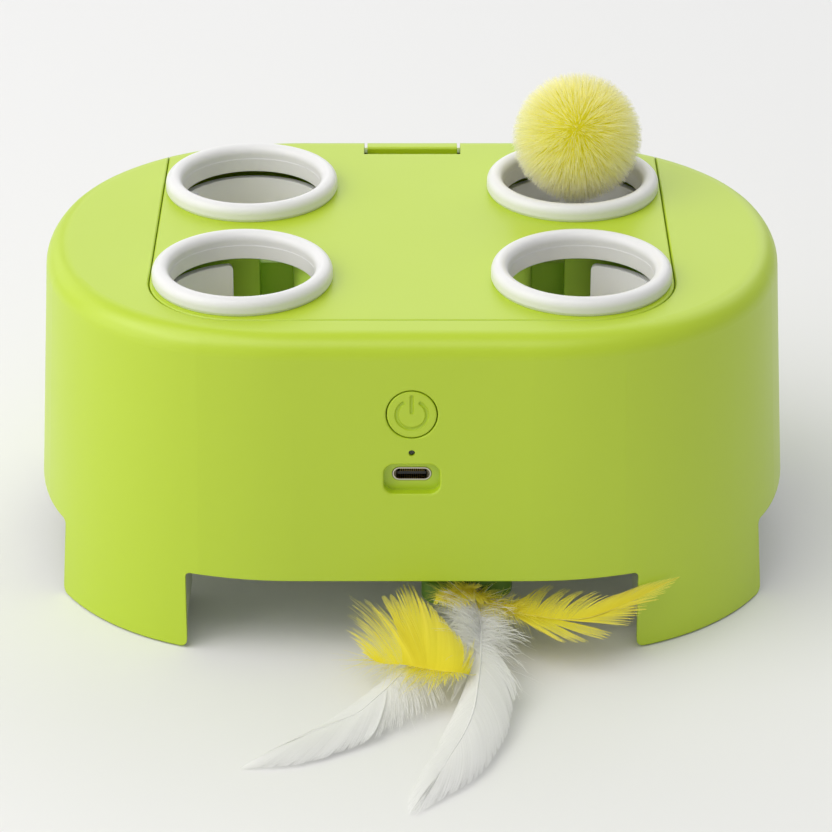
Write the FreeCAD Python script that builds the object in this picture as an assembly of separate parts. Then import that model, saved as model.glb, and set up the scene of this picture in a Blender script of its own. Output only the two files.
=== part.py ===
import FreeCAD, Part
import math
import os
from FreeCAD import Vector

# Sizes are millimetres. +Z is up, +X to the right, the front looks along -Y, and the floor is z = 0.

# Outer shell: a stadium with slightly full corners, whose walls flare outwards towards the floor
DECK_Z = 81.0
HALF_LENGTH = 88.4
HALF_DEPTH = 60.6
FLAT_ARC_R = 75.7
CORNER_FULLNESS = 1.7
DRAFT_DEG = 3.33
WALL = 2.2
DECK_THICK = 2.6
TOP_EDGE_R = 5.5
FOOT_LIFT = 0.4

# Four arches leave four corner feet
ARCH_HEIGHT = 20.0
ARCH_HALF_X = 53.4
ARCH_HALF_Y = 34.0
ARCH_CORNER_R = 1.25
FOOT_CORNER_R = 1.8

# Lift-off lid with its seat, tongues and thumb latch
LID_SIDE_RIM = 0.74
LID_FRONT_RIM = 1.74
LID_CORNER_R = 22.0
LID_GAP = 0.25
LID_BEVEL = 0.3
LEDGE_WIDTH = 1.8
LEDGE_THICK = 1.8
SEAT_GAP = 0.2
TONGUE_X = 20.0
TONGUE_WIDTH = 10.0
TONGUE_REACH = 2.4
TONGUE_THICK = 1.7
TAB_HALF_WIDTH = 11.5
TAB_SLOT = 0.8
TAB_DEPTH = 7.0
THUMB_GAP = 4.4
TAB_LIP_R = 0.6
LATCH_LEAF = 2.0
LATCH_PIVOT_Z = 61.9
LATCH_ROOT = 2.0
LATCH_BRACKET = 1.7
NOSE_REACH = 2.2
NOSE_THICK = 1.7
CATCH_Z = 74.6
CATCH_THICK = 1.6
CATCH_REACH = 1.9
CATCH_HALF_WIDTH = 9.0

# Four holes with lipped rings
HOLE_X = 40.0
HOLE_Y = 27.0
RING_BORE_R = 17.2
RING_STEP = 0.1
RING_STEP_Z = 0.8
RING_LIP_R = 2.08
RING_LIP_RISE = 2.0
RING_SLEEVE = 1.8
RING_FIT = 0.1
RING_UNDERCUT = 0.35

# White wells under the holes, open towards the middle of the toy
WELL_R = 18.2
WELL_WALL = 1.6
WELL_TOP_Z = 76.2
WELL_OPEN_DEG = 66.0
WELL_CORNER_R = 1.2
WELL_FLOOR_Z = 25.0
WELL_FLOOR = 1.6
WELL_DRAIN_R = 8.0
KEY_WIDTH = 2.0
KEY_DEPTH = 1.0

# Poppers: pom-pom, stem and carriage
LIFT = 40.0
CARRIAGE_THICK = 3.0
CARRIAGE_SEAT = 0.3
CARRIAGE_CLEAR = 0.3
STEM_R = 3.0
STEM_GRIP = 3.0
POM_R = 16.2
POM_RAISED_Z = 95.0
EAR_WIDTH = 12.0
EAR_THICK = 2.3
EAR_REACH = 6.9
WEB_THICK = 2.0
WEB_RADIUS = 36.5

# Base plate with its hollow foot boxes
FLOOR_Z = 22.8
FLOOR_THICK = 2.2
BASE_CLEAR = 0.3
BOX_WALL = 1.6
BOX_BOTTOM_Z = 1.5
PAD_R = 4.5
PAD_INSET_X = 9.6
PAD_INSET_Y = 8.0
POST_WALL_INSET = 11.4
POST_ARCH_INSET = 5.0
POST_R = 3.2
SCREW_R = 1.2
SCREW_HEAD_R = 2.6
SCREW_HEAD = 1.2
SCREW_LENGTH = 9.0

# Gear train: three gears on the middle axis, one pinion and motor for each
MODULE = 0.8
GEAR_TEETH = 84
PINION_TEETH = 22
PRESSURE_DEG = 20.0
BACKLASH = 0.22
GEAR_THICK = 1.5
GEAR_GAP = 0.3
DRUM_GEAR_THICK = 2.1
TURN_AZIMUTH = 78.0
LIFT_AZIMUTH = 102.0
FEATHER_AZIMUTH = 270.0
MOTOR_WIDTH = 12.0
MOTOR_DEPTH = 10.0
MOTOR_GEARBOX = 9.0
MOTOR_CAN = 15.0
SHAFT_R = 1.5

# Selector drum, lead screw and crosshead
DRUM_R = 29.0
DRUM_WALL = 1.8
DRUM_FLOOR = 2.0
DRUM_TOP_Z = 77.0
DRUM_FLANGE_R = 31.0
DRUM_FLANGE = 1.2
ARM_WIDTH = 10.0
ARM_THICK = 4.0
ARM_RADIUS = 36.0
ARM_CLEAR = 0.3
HUB_R = 6.0
HUB_HEIGHT = 5.5
NUT_R = 4.6
LEAD_R = 3.0
LEAD_ROOT = 0.45
LEAD_PITCH = 4.0
LEAD_TIP_R = 1.5
RUNNING = 0.08

# Green chassis: bearing ring, motor pads and the screens between the wells
RING_CLEAR = 0.4
CHASSIS_R = 33.2
CHASSIS_THICK = 1.9
PAD_REAR_HALF = 20.0
PAD_FRONT_HALF = 11.5
PAD_REACH = 12.0
LEG_R = 1.8
SCREEN_X = 37.2
SCREEN_THICK = 2.0
SCREEN_END_X = 57.5
SCREEN_BACK_Y = 5.0
SCREEN_DRUM_GAP = 0.3
SCREEN_TOP_Z = 76.0
SCREEN_LOW_Z = 38.0
SCREEN_FORK_Z = 70.6
CLIP_WALL = 1.5
CLIP_HEIGHT = 12.0

# Feather rotor under the floor
ROTOR_SHAFT_R = 2.5
ROTOR_HUB_R = 8.0
ROTOR_HUB_LOW_Z = 10.0
ROTOR_HUB_TOP_Z = 18.2
ROTOR_BOSS_R = 5.5
ROTOR_BOSS_Z = 18.5
ROTOR_ARM_AZIMUTH = -76.0
ROTOR_ARM_REACH = 54.0
ROTOR_ARM_WIDTH = 8.0
ROTOR_ARM_LOW_Z = 11.0
ROTOR_ARM_THICK = 4.0
ROTOR_PAD_LENGTH = 22.0
ROTOR_PAD_R = 5.0
ROTOR_PAD_LOW_Z = 10.0
ROTOR_PAD_TOP_Z = 16.0
ROTOR_PAD_EDGE_R = 1.2
FERRULE_R = 2.6
FERRULE_LENGTH = 8.0
FERRULE_DEPTH = 6.0
FERRULE_WALL = 0.6
FEATHER_THICK = 0.7
QUILL_GAP = 0.45

# Front panel: button, light, port, circuit board and cell
BUTTON_Z = 62.4
BUTTON_R = 5.75
BUTTON_GAP = 0.25
BUTTON_EDGE_R = 0.3
BUTTON_FLANGE_R = 7.0
BUTTON_FLANGE = 1.1
BUTTON_FLANGE_GAP = 0.35
ICON_R = 3.5
ICON_STROKE = 0.9
ICON_OPEN_DEG = 35.0
ICON_BAR = 4.3
LIGHT_Z = 52.8
LIGHT_R = 0.75
PORT_Z = 46.5
PORT_DROP = 0.4
PORT_RECESS = (13.0, 7.4)
PORT_RECESS_R = 2.5
PORT_EDGE_R = 0.5
PORT_DEPTH = 2.3
PORT_FLOOR = 1.5
PORT_SHELL = (8.94, 3.26)
PORT_METAL = 0.3
PORT_LENGTH = 7.3
PORT_FIT = 0.15
TONGUE = (6.7, 0.7)
BOARD_THICK = 1.6
BOARD_HALF_WIDTH = 19.0
BOARD_LOW_Z = 26.0
BOARD_TOP_Z = 70.0
RAIL = 2.0
RAIL_DEPTH = 4.0
SWITCH_SIDE = 6.0
SWITCH_BODY = 3.4
PLUNGER_R = 1.7
PLUNGER_LENGTH = 1.5
CELL_R = 7.0
CELL_LENGTH = 43.0
CELL_GAP = 1.2
CRADLE_WALL = 1.6
CRADLE_SPREAD = 0.77

# Places worked out from the sizes above
UP = Vector(0, 0, 1)
BACK = Vector(0, 1, 0)
REACH = 1.5 * HALF_LENGTH
ORIGIN = Vector(0, 0, 0)
TAPER = math.tan(math.radians(DRAFT_DEG))
LID_LOW_Z = DECK_Z - DECK_THICK
RING_OUTER_R = RING_BORE_R + 2 * RING_LIP_R
LID_HALF_WIDTH = HOLE_X + RING_OUTER_R + LID_SIDE_RIM
LID_FRONT_Y = -(HOLE_Y + RING_OUTER_R + LID_FRONT_RIM)
TAB_FRONT_Y = HALF_DEPTH - TAB_DEPTH
THUMB_FRONT_Y = TAB_FRONT_Y - THUMB_GAP
PAD_X = ARCH_HALF_X + PAD_INSET_X
PAD_Y = ARCH_HALF_Y + PAD_INSET_Y
POST_X = HALF_LENGTH - POST_WALL_INSET
POST_Y = ARCH_HALF_Y - POST_ARCH_INSET
CELL_X = HOLE_X + WELL_R + WELL_WALL + CELL_GAP + CELL_R
STRAIGHT_X = HALF_LENGTH - HALF_DEPTH
STATION_R = math.hypot(HOLE_X, HOLE_Y)
STATION_DEG = math.degrees(math.atan2(HOLE_Y, HOLE_X))
STATIONS = {
    "back_right": STATION_DEG,
    "back_left": 180.0 - STATION_DEG,
    "front_left": 180.0 + STATION_DEG,
    "front_right": 360.0 - STATION_DEG,
}
RAISED = "back_right"
CARRIAGE_LOW_Z = WELL_FLOOR_Z + WELL_FLOOR + CARRIAGE_SEAT
FEATHER_GEAR_Z = FLOOR_Z + GEAR_GAP
LEAD_GEAR_Z = FEATHER_GEAR_Z + GEAR_THICK + GEAR_GAP
DRUM_GEAR_Z = LEAD_GEAR_Z + GEAR_THICK + GEAR_GAP
DRUM_LOW_Z = DRUM_GEAR_Z + DRUM_GEAR_THICK
CHASSIS_LOW_Z = DRUM_LOW_Z + GEAR_GAP
CHASSIS_TOP_Z = CHASSIS_LOW_Z + CHASSIS_THICK
DRUM_FLANGE_Z = CHASSIS_TOP_Z + SEAT_GAP
ARM_LOW_Z = DRUM_FLANGE_Z + ARM_CLEAR
EAR_LOW_Z = ARM_LOW_Z + ARM_THICK + SEAT_GAP
MOTOR_Z = CHASSIS_TOP_Z + SEAT_GAP / 2
CENTRES = MODULE * (GEAR_TEETH + PINION_TEETH) / 2
FERRULE_Z = ROTOR_ARM_LOW_Z + ROTOR_ARM_THICK / 2
FERRULE_START = ROTOR_ARM_REACH + ROTOR_PAD_R - FERRULE_DEPTH
RECESS_Z = PORT_Z - PORT_DROP


def taper(z):
    """How far the walls have flared out at height z."""
    return (DECK_Z - z) * TAPER


def box(x0, x1, y0, y1, z0, z1):
    return Part.makeBox(x1 - x0, y1 - y0, z1 - z0, Vector(x0, y0, z0))


def rod(radius, z0, z1, x=0.0, y=0.0):
    return Part.makeCylinder(radius, z1 - z0, Vector(x, y, z0), UP)


def tube(outer, inner, z0, z1, x=0.0, y=0.0):
    return rod(outer, z0, z1, x, y).cut(rod(inner, z0 - 1, z1 + 1, x, y))


def turned(shape, degrees):
    copy = shape.copy()
    copy.rotate(ORIGIN, UP, degrees)
    return copy


def lifted(shape, height):
    copy = shape.copy()
    copy.translate(Vector(0, 0, height))
    return copy


def polar(radius, degrees, z=0.0):
    angle = math.radians(degrees)
    return Vector(radius * math.cos(angle), radius * math.sin(angle), z)


def curve(points):
    """A straight edge through two points, or an arc through three."""
    shape = Part.LineSegment(*points) if len(points) == 2 else Part.Arc(*points)
    return shape.toShape()


def closed_face(edges):
    return Part.Face(Part.Wire(Part.__sortEdges__(edges)))


def four_ways(shape):
    """The shape and its mirror images in the toy's two middle planes."""
    copies = [shape, shape.mirror(ORIGIN, Vector(1, 0, 0))]
    return copies + [copy.mirror(ORIGIN, BACK) for copy in copies]


def both_sides(shape):
    return [shape, shape.mirror(ORIGIN, Vector(1, 0, 0))]


def joined(first, *others):
    """One solid from pieces that share volume."""
    return first.fuse(list(others)).removeSplitter()


def rounded_prism(width, height, radius, y0, y1, z):
    """A rounded rectangle in the XZ plane, centred on x = 0 and height z, pushed from y0 to y1."""
    block = box(-width / 2, width / 2, y0, y1, z - height / 2, z + height / 2)
    along = [edge for edge in block.Edges if abs(edge.tangentAt(edge.FirstParameter).y) > 0.9]
    return block.makeFillet(radius, along)


def quarter_arcs():
    """Centres and radii of the three arcs of one rounded corner, as seen from the straight part."""
    spread = FLAT_ARC_R - HALF_DEPTH
    rest = spread - CORNER_FULLNESS
    shift = (rest ** 2 - spread ** 2) / (2 * (spread - math.sqrt(2) * rest))
    corner_r = HALF_DEPTH + CORNER_FULLNESS - math.sqrt(2) * shift
    return spread, shift, corner_r


def outline(offset, z):
    """The plan outline, moved outwards by offset, as a closed wire of lines and tangent arcs."""
    spread, shift, corner_r = quarter_arcs()
    flat = FLAT_ARC_R + offset
    corner = corner_r + offset
    lean = math.atan2(shift, shift + spread)
    front = Vector(0, -spread, 0)
    middle = Vector(shift, shift, 0)
    side = Vector(-spread, 0, 0)

    def on(centre, radius, angle):
        return centre + Vector(radius * math.sin(angle), radius * math.cos(angle), 0)

    start = on(front, flat, 0)
    first = on(front, flat, lean)
    second = on(side, flat, math.pi / 2 - lean)
    quarter = [
        (start, on(front, flat, lean / 2), first),
        (first, on(middle, corner, math.pi / 4), second),
        (second, on(side, flat, math.pi / 2 - lean / 2), on(side, flat, math.pi / 2)),
    ]

    def place(point, sx, sy):
        return Vector(sx * (STRAIGHT_X + point.x), sy * point.y, z)

    edges = []
    for sx, sy in ((1, 1), (1, -1), (-1, -1), (-1, 1)):
        for arc in quarter:
            edges.append(curve([place(point, sx, sy) for point in arc]))
    for sy in (1, -1):
        edges.append(curve([place(start, -1, sy), place(start, 1, sy)]))
    return Part.Wire(Part.__sortEdges__(edges))


def body_block(inset, z0, z1):
    """The drafted outer form between two heights, drawn in by inset."""
    low = outline(taper(z0) - inset, z0)
    high = outline(taper(z1) - inset, z1)
    return Part.makeLoft([low, high], True, True)


def rounded_top(block, z, radius):
    rim = [edge for edge in block.Edges if all(abs(v.Z - z) < 1e-4 for v in edge.Vertexes)]
    return block.makeFillet(radius, rim)


def lid_plan(gap, z):
    """The lid's plan, drawn in by gap: round corners at the front, open over the rear edge."""
    x = LID_HALF_WIDTH - gap
    y = LID_FRONT_Y + gap
    radius = LID_CORNER_R - gap
    rear = 1.5 * HALF_DEPTH
    bend = radius * (1 - math.sqrt(0.5))
    runs = [
        [(-x, rear), (-x, y + radius)],
        [(-x, y + radius), (bend - x, y + bend), (radius - x, y)],
        [(radius - x, y), (x - radius, y)],
        [(x - radius, y), (x - bend, y + bend), (x, y + radius)],
        [(x, y + radius), (x, rear)],
        [(x, rear), (-x, rear)],
    ]
    return Part.Wire([curve([Vector(u, v, z) for u, v in run]) for run in runs])


def lid_prism(gap, z0, z1):
    return Part.Face(lid_plan(gap, z0)).extrude(Vector(0, 0, z1 - z0))


def lid_flare(gap, slope):
    """The lid's plan at the deck's top edge, drawn in from there by slope for each millimetre upwards."""
    low, high = DECK_Z - LID_BEVEL, DECK_Z + LID_BEVEL
    return Part.makeLoft([lid_plan(gap, low), lid_plan(gap + 2 * slope * LID_BEVEL, high)], True, True)


def arch_cutter(half_width, along_x):
    """An arch with round upper corners whose feet are rounded at the floor, cut right through."""
    low = FOOT_LIFT
    shoulder = half_width - ARCH_CORNER_R
    toe = half_width + FOOT_CORNER_R
    bend = math.sqrt(0.5)
    toe_mid = (toe - FOOT_CORNER_R * bend, low + FOOT_CORNER_R * (1 - bend))
    top_mid = (shoulder + ARCH_CORNER_R * bend, ARCH_HEIGHT - ARCH_CORNER_R * (1 - bend))
    half = [
        [(toe, -1), (toe, low)],
        [(toe, low), toe_mid, (half_width, low + FOOT_CORNER_R)],
        [(half_width, low + FOOT_CORNER_R), (half_width, ARCH_HEIGHT - ARCH_CORNER_R)],
        [(half_width, ARCH_HEIGHT - ARCH_CORNER_R), top_mid, (shoulder, ARCH_HEIGHT)],
    ]
    edges = []
    for side in (1, -1):
        for run in half:
            edges.append(curve([Vector(side * u, 0, z) for u, z in run]))
    edges.append(curve([Vector(shoulder, 0, ARCH_HEIGHT), Vector(-shoulder, 0, ARCH_HEIGHT)]))
    edges.append(curve([Vector(toe, 0, -1), Vector(-toe, 0, -1)]))
    prism = closed_face(edges).extrude(Vector(0, 2 * REACH, 0))
    prism.translate(Vector(0, -REACH, 0))
    return turned(prism, 90) if along_x else prism


def outer_form():
    return rounded_top(body_block(0, FOOT_LIFT, DECK_Z), DECK_Z, TOP_EDGE_R)


def front_wall_y(z):
    return -(HALF_DEPTH + taper(z))


def front_rim(solid, z, half_width, half_height):
    """The edges on the front wall round an opening or a cap at height z."""
    def on_rim(point):
        near = abs(point.X) < half_width + 0.01 and abs(point.Z - z) < half_height + 0.01
        return near and abs(point.Y - front_wall_y(point.Z)) < 0.01

    return [edge for edge in solid.Edges if all(on_rim(v) for v in edge.Vertexes)]


def feet_region(clear, low):
    """The four corners outside both pairs of arches, with rounded lower edges along the arches."""
    corner = box(ARCH_HALF_X + clear, REACH, ARCH_HALF_Y + clear, REACH, low, DECK_Z)
    inner = [e for e in corner.Edges if is_arch_edge(e, clear, low)]
    return Part.makeCompound(four_ways(corner.makeFillet(FOOT_CORNER_R, inner)))


def is_arch_edge(edge, clear, low):
    at_floor = all(abs(v.Z - low) < 1e-4 for v in edge.Vertexes)
    by_front_arch = all(abs(v.X - ARCH_HALF_X - clear) < 1e-4 for v in edge.Vertexes)
    by_end_arch = all(abs(v.Y - ARCH_HALF_Y - clear) < 1e-4 for v in edge.Vertexes)
    return at_floor and (by_front_arch or by_end_arch)


def make_shell(outer):
    inner = rounded_top(body_block(WALL, -1, LID_LOW_Z), LID_LOW_Z, TOP_EDGE_R - WALL)
    shell = outer.cut(inner)
    shell = shell.cut(arch_cutter(ARCH_HALF_X, False)).cut(arch_cutter(ARCH_HALF_Y, True))
    shell = shell.cut(lid_prism(0, LID_LOW_Z - SEAT_GAP, DECK_Z + 10)).cut(lid_flare(0, -1))
    ledge_top = LID_LOW_Z - SEAT_GAP
    ledge = lid_prism(-WALL, ledge_top - LEDGE_THICK, ledge_top).cut(
        lid_prism(LEDGE_WIDTH, ledge_top - LEDGE_THICK - 1, ledge_top + 1))
    ledge = ledge.common(box(-HALF_LENGTH, HALF_LENGTH, -HALF_DEPTH, HOLE_Y, 0, DECK_Z))
    rim = lid_prism(-WALL, ledge_top, LID_LOW_Z + 1).cut(lid_prism(0, ledge_top - 1, LID_LOW_Z + 2))
    rim = rim.common(box(-HALF_LENGTH, HALF_LENGTH, -HALF_DEPTH, HOLE_Y, 0, DECK_Z))
    shell = joined(shell, ledge, rim)
    for side in (1, -1):
        x0 = side * TONGUE_X - TONGUE_WIDTH / 2 - LID_GAP
        shell = shell.cut(box(x0, x0 + TONGUE_WIDTH + 2 * LID_GAP, LID_FRONT_Y - TONGUE_REACH - LID_GAP,
                              LID_FRONT_Y + LEDGE_WIDTH + LID_GAP, ledge_top - LEDGE_THICK - 1, LID_LOW_Z))
        for end in (1, -1):
            post = rod(POST_R, FLOOR_Z + SEAT_GAP, LID_LOW_Z + 1, side * POST_X, end * POST_Y)
            shell = joined(shell, post).cut(
                rod(SCREW_R, FLOOR_Z, FLOOR_Z + SCREW_LENGTH, side * POST_X, end * POST_Y))
    rear = HALF_DEPTH + taper(CATCH_Z) - WALL
    catch = box(-CATCH_HALF_WIDTH, CATCH_HALF_WIDTH, rear - CATCH_REACH, rear + WALL / 2,
                CATCH_Z, CATCH_Z + CATCH_THICK)
    shell = joined(shell, catch)
    wall_y = front_wall_y(RECESS_Z)
    floor_y = port_floor_y()
    width, height = PORT_RECESS
    boss = rounded_prism(width + 2 * PORT_FLOOR, height + 2 * PORT_FLOOR, PORT_RECESS_R + PORT_FLOOR,
                         wall_y + 0.9 * WALL, floor_y + PORT_FLOOR, RECESS_Z)
    shell = joined(shell, boss)
    shell = shell.cut(rounded_prism(width, height, PORT_RECESS_R, wall_y - 5, floor_y, RECESS_Z))
    slot_w, slot_h = (size + 2 * PORT_FIT for size in PORT_SHELL)
    shell = shell.cut(rounded_prism(slot_w, slot_h, slot_h / 2 - 0.01, wall_y, floor_y + 5, PORT_Z))
    hole_r = BUTTON_R + BUTTON_GAP
    for z, radius in ((BUTTON_Z, hole_r), (LIGHT_Z, LIGHT_R)):
        shell = shell.cut(Part.makeCylinder(radius, 10, Vector(0, front_wall_y(z) - 5, z), BACK))
    shell = shell.makeFillet(BUTTON_EDGE_R, front_rim(shell, BUTTON_Z, hole_r, hole_r))
    return shell.makeFillet(PORT_EDGE_R, front_rim(shell, RECESS_Z, width / 2, height / 2))


def make_lid(outer):
    lid = outer.common(lid_prism(LID_GAP, LID_LOW_Z, DECK_Z + 5))
    lid = lid.cut(lid_prism(-LID_GAP, DECK_Z - LID_BEVEL, DECK_Z + LID_BEVEL / 2).cut(lid_flare(LID_GAP, 1)))
    for azimuth in STATIONS.values():
        centre = polar(STATION_R, azimuth)
        sleeve = RING_BORE_R + RING_SLEEVE + RING_FIT
        lid = lid.cut(rod(sleeve, LID_LOW_Z - 1, DECK_Z + 1, centre.x, centre.y))
    open_half = TAB_HALF_WIDTH + TAB_SLOT
    lid = lid.cut(box(-open_half, open_half, THUMB_FRONT_Y, HALF_LENGTH, LID_LOW_Z - 5, DECK_Z + 1))
    tongue_top = LID_LOW_Z - LID_GAP
    for side in (1, -1):
        x0 = side * TONGUE_X - TONGUE_WIDTH / 2
        root = box(x0, x0 + TONGUE_WIDTH, LID_FRONT_Y + LID_GAP, LID_FRONT_Y + 2 * TONGUE_REACH,
                   tongue_top - TONGUE_THICK, LID_LOW_Z + DECK_THICK / 2)
        tip = box(x0, x0 + TONGUE_WIDTH, LID_FRONT_Y - TONGUE_REACH, LID_FRONT_Y + TONGUE_REACH,
                  tongue_top - TONGUE_THICK, tongue_top)
        lid = joined(lid, root, tip)
    low = LATCH_PIVOT_Z - SEAT_GAP - LATCH_BRACKET
    back = box(-TAB_HALF_WIDTH, TAB_HALF_WIDTH, THUMB_FRONT_Y - LATCH_ROOT, THUMB_FRONT_Y,
               low, LID_LOW_Z + DECK_THICK / 2)
    bottom = box(-TAB_HALF_WIDTH, TAB_HALF_WIDTH, THUMB_FRONT_Y - LATCH_ROOT, TAB_FRONT_Y + LATCH_LEAF,
                 low, low + LATCH_BRACKET)
    return joined(lid, back, bottom)


def make_latch(outer):
    """Thumb tab, the leaf that bends at its foot and the nose that holds under the catch."""
    rear = HALF_DEPTH * 1.2
    tab = outer.common(box(-TAB_HALF_WIDTH, TAB_HALF_WIDTH, TAB_FRONT_Y, rear, LID_LOW_Z, DECK_Z + 1))
    lip = [e for e in tab.Edges if all(abs(v.Y - TAB_FRONT_Y) + abs(v.Z - DECK_Z) < 0.01 for v in e.Vertexes)]
    tab = tab.makeFillet(TAB_LIP_R, lip)
    leaf = box(-TAB_HALF_WIDTH, TAB_HALF_WIDTH, TAB_FRONT_Y, TAB_FRONT_Y + LATCH_LEAF,
               LATCH_PIVOT_Z, LID_LOW_Z + 1)
    nose_top = CATCH_Z - SEAT_GAP
    nose = box(-CATCH_HALF_WIDTH, CATCH_HALF_WIDTH, TAB_FRONT_Y + LATCH_LEAF / 2,
               TAB_FRONT_Y + LATCH_LEAF + NOSE_REACH, nose_top - NOSE_THICK, nose_top)
    return joined(tab, leaf, nose)


def make_ring():
    """White lipped ring at the middle axis; its sleeve fills the lid's hole."""
    lip = RING_BORE_R + RING_LIP_R
    lip_z = DECK_Z + RING_LIP_RISE
    throat = RING_BORE_R + RING_STEP
    sleeve = RING_BORE_R + RING_SLEEVE
    step_z = DECK_Z + RING_STEP_Z
    bend = math.sqrt(0.5)
    corners = [
        (throat, lip_z), (throat, step_z), (RING_BORE_R, step_z), (RING_BORE_R, LID_LOW_Z),
        (sleeve, LID_LOW_Z), (sleeve, DECK_Z), (RING_OUTER_R - RING_UNDERCUT, DECK_Z),
        (RING_OUTER_R, DECK_Z + 2 * RING_UNDERCUT), (RING_OUTER_R, lip_z),
    ]
    points = [Vector(r, 0, z) for r, z in corners]
    edges = [curve([a, b]) for a, b in zip(points[:-1], points[1:])]
    crest = Vector(lip, 0, lip_z + RING_LIP_R)
    rise = lip_z + RING_LIP_R * bend
    edges.append(curve([points[-1], Vector(lip + RING_LIP_R * bend, 0, rise), crest]))
    edges.append(curve([crest, Vector(lip - (lip - throat) * bend, 0, rise), points[0]]))
    return closed_face(edges).revolve(ORIGIN, UP, 360)


def make_well():
    """C-shaped guide wall with a floor and a key rib, its opening facing the middle axis."""
    wall = tube(WELL_R + WELL_WALL, WELL_R, FLOOR_Z + SEAT_GAP, WELL_TOP_Z)
    reach = WELL_R * 3
    angle = math.radians(WELL_OPEN_DEG)
    wedge = Part.makePolygon([
        Vector(0, 0, 0), Vector(-reach * math.cos(angle), reach * math.sin(angle), 0),
        Vector(-reach, reach * math.sin(angle), 0), Vector(-reach, -reach * math.sin(angle), 0),
        Vector(-reach * math.cos(angle), -reach * math.sin(angle), 0), Vector(0, 0, 0)])
    wall = wall.cut(Part.Face(wedge).extrude(Vector(0, 0, DECK_Z)))
    top_ends = [e for e in wall.Edges if e.Length < 2 * WELL_WALL
                and all(abs(v.Z - WELL_TOP_Z) < 1e-4 for v in e.Vertexes)]
    wall = wall.makeFillet(WELL_CORNER_R, top_ends)
    wall.translate(Vector(STATION_R, 0, 0))
    plate = rod(WELL_R + WELL_WALL / 2, WELL_FLOOR_Z, WELL_FLOOR_Z + WELL_FLOOR, STATION_R)
    plate = plate.cut(rod(WEB_RADIUS + WEB_THICK, 0, DECK_Z))
    plate = plate.cut(rod(WELL_DRAIN_R, 0, DECK_Z, STATION_R))
    far = STATION_R + WELL_R
    key = box(far - KEY_DEPTH, far + WELL_WALL / 2, -KEY_WIDTH / 2, KEY_WIDTH / 2,
              WELL_FLOOR_Z, WELL_TOP_Z - WELL_CORNER_R)
    return joined(wall, plate, key)


def make_carriage():
    """Sliding disc with its stem, and the ear that the selector's arm pushes up from below."""
    low = CARRIAGE_LOW_Z
    top = low + CARRIAGE_THICK
    disc = rod(WELL_R - CARRIAGE_CLEAR, low, top, STATION_R).cut(rod(WEB_RADIUS, 0, DECK_Z))
    far = STATION_R + WELL_R - KEY_DEPTH - CARRIAGE_CLEAR
    half_key = KEY_WIDTH / 2 + CARRIAGE_CLEAR
    disc = disc.cut(box(far, far + WELL_R, -half_key, half_key, 0, DECK_Z))
    stem = rod(STEM_R, low, POM_RAISED_Z - LIFT - POM_R + STEM_GRIP, STATION_R)
    half = EAR_WIDTH / 2
    web = box(WEB_RADIUS, WEB_RADIUS + WEB_THICK, -half, half, low, EAR_LOW_Z + EAR_THICK)
    ear = box(WEB_RADIUS + WEB_THICK - EAR_REACH, WEB_RADIUS + WEB_THICK, -half, half,
              EAR_LOW_Z, EAR_LOW_Z + EAR_THICK)
    return joined(disc, stem, web, ear)


def make_pom():
    ball = Part.makeSphere(POM_R, Vector(STATION_R, 0, POM_RAISED_Z - LIFT))
    return ball.cut(rod(STEM_R, 0, POM_RAISED_Z - LIFT - POM_R + STEM_GRIP, STATION_R))


def involute_gear(teeth, z0, z1, bore):
    """A spur gear with involute flanks, tooth 0 pointing along +X."""
    pitch_r = MODULE * teeth / 2
    pressure = math.radians(PRESSURE_DEG)
    base_r = pitch_r * math.cos(pressure)
    tip_r = pitch_r + 0.75 * MODULE
    root_r = pitch_r - 1.0 * MODULE
    half_tooth = math.pi / (2 * teeth) - BACKLASH / 4 / pitch_r
    involute = math.tan(pressure) - pressure
    start_r = max(base_r, root_r)

    def flank(radius):
        turn = math.acos(min(1.0, base_r / radius))
        return half_tooth + involute - (math.tan(turn) - turn)

    radii = [start_r + (tip_r - start_r) * i / 4 for i in range(5)]
    points = []
    for tooth in range(teeth):
        middle = 2 * math.pi * tooth / teeth
        right = [(root_r, middle - flank(start_r))] + [(r, middle - flank(r)) for r in radii]
        left = [(r, middle + flank(r)) for r in reversed(radii)] + [(root_r, middle + flank(start_r))]
        for radius, angle in right + left:
            point = Vector(radius * math.cos(angle), radius * math.sin(angle), z0)
            if not points or (point - points[-1]).Length > 1e-3:
                points.append(point)
    face = Part.Face(Part.makePolygon(points + points[:1]))
    gear = face.extrude(Vector(0, 0, z1 - z0))
    return gear.cut(rod(bore, z0 - 1, z1 + 1)) if bore else gear


def make_pinion(azimuth, z0):
    """Pinion and motor shaft, its teeth set between those of the gear on the middle axis."""
    half_step = 180.0 / PINION_TEETH
    pinion = turned(involute_gear(PINION_TEETH, z0, z0 + GEAR_THICK, 0), azimuth + 180.0 + half_step)
    phase = azimuth * GEAR_TEETH / 360.0
    pinion = turned(pinion, (phase - round(phase)) * 360.0 / PINION_TEETH)
    pinion = joined(pinion, rod(SHAFT_R, z0, MOTOR_Z - SEAT_GAP / 4))
    pinion.translate(polar(CENTRES, azimuth))
    return pinion


def make_motor(azimuth):
    """Small geared motor standing on the chassis, its flat sides square to the middle axis."""
    low = MOTOR_Z
    half_d, half_w = MOTOR_DEPTH / 2, MOTOR_WIDTH / 2
    gearbox = box(CENTRES - half_d, CENTRES + half_d, -half_w, half_w, low, low + MOTOR_GEARBOX)
    can = rod(half_w, low + MOTOR_GEARBOX - 1, low + MOTOR_GEARBOX + MOTOR_CAN, CENTRES)
    can = can.common(box(CENTRES - half_d, CENTRES + half_d, -half_w, half_w, 0, DECK_Z))
    cap = rod(SHAFT_R, low, low + MOTOR_GEARBOX + MOTOR_CAN + 1.0, CENTRES)
    return turned(joined(gearbox, can, cap), azimuth)


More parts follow.
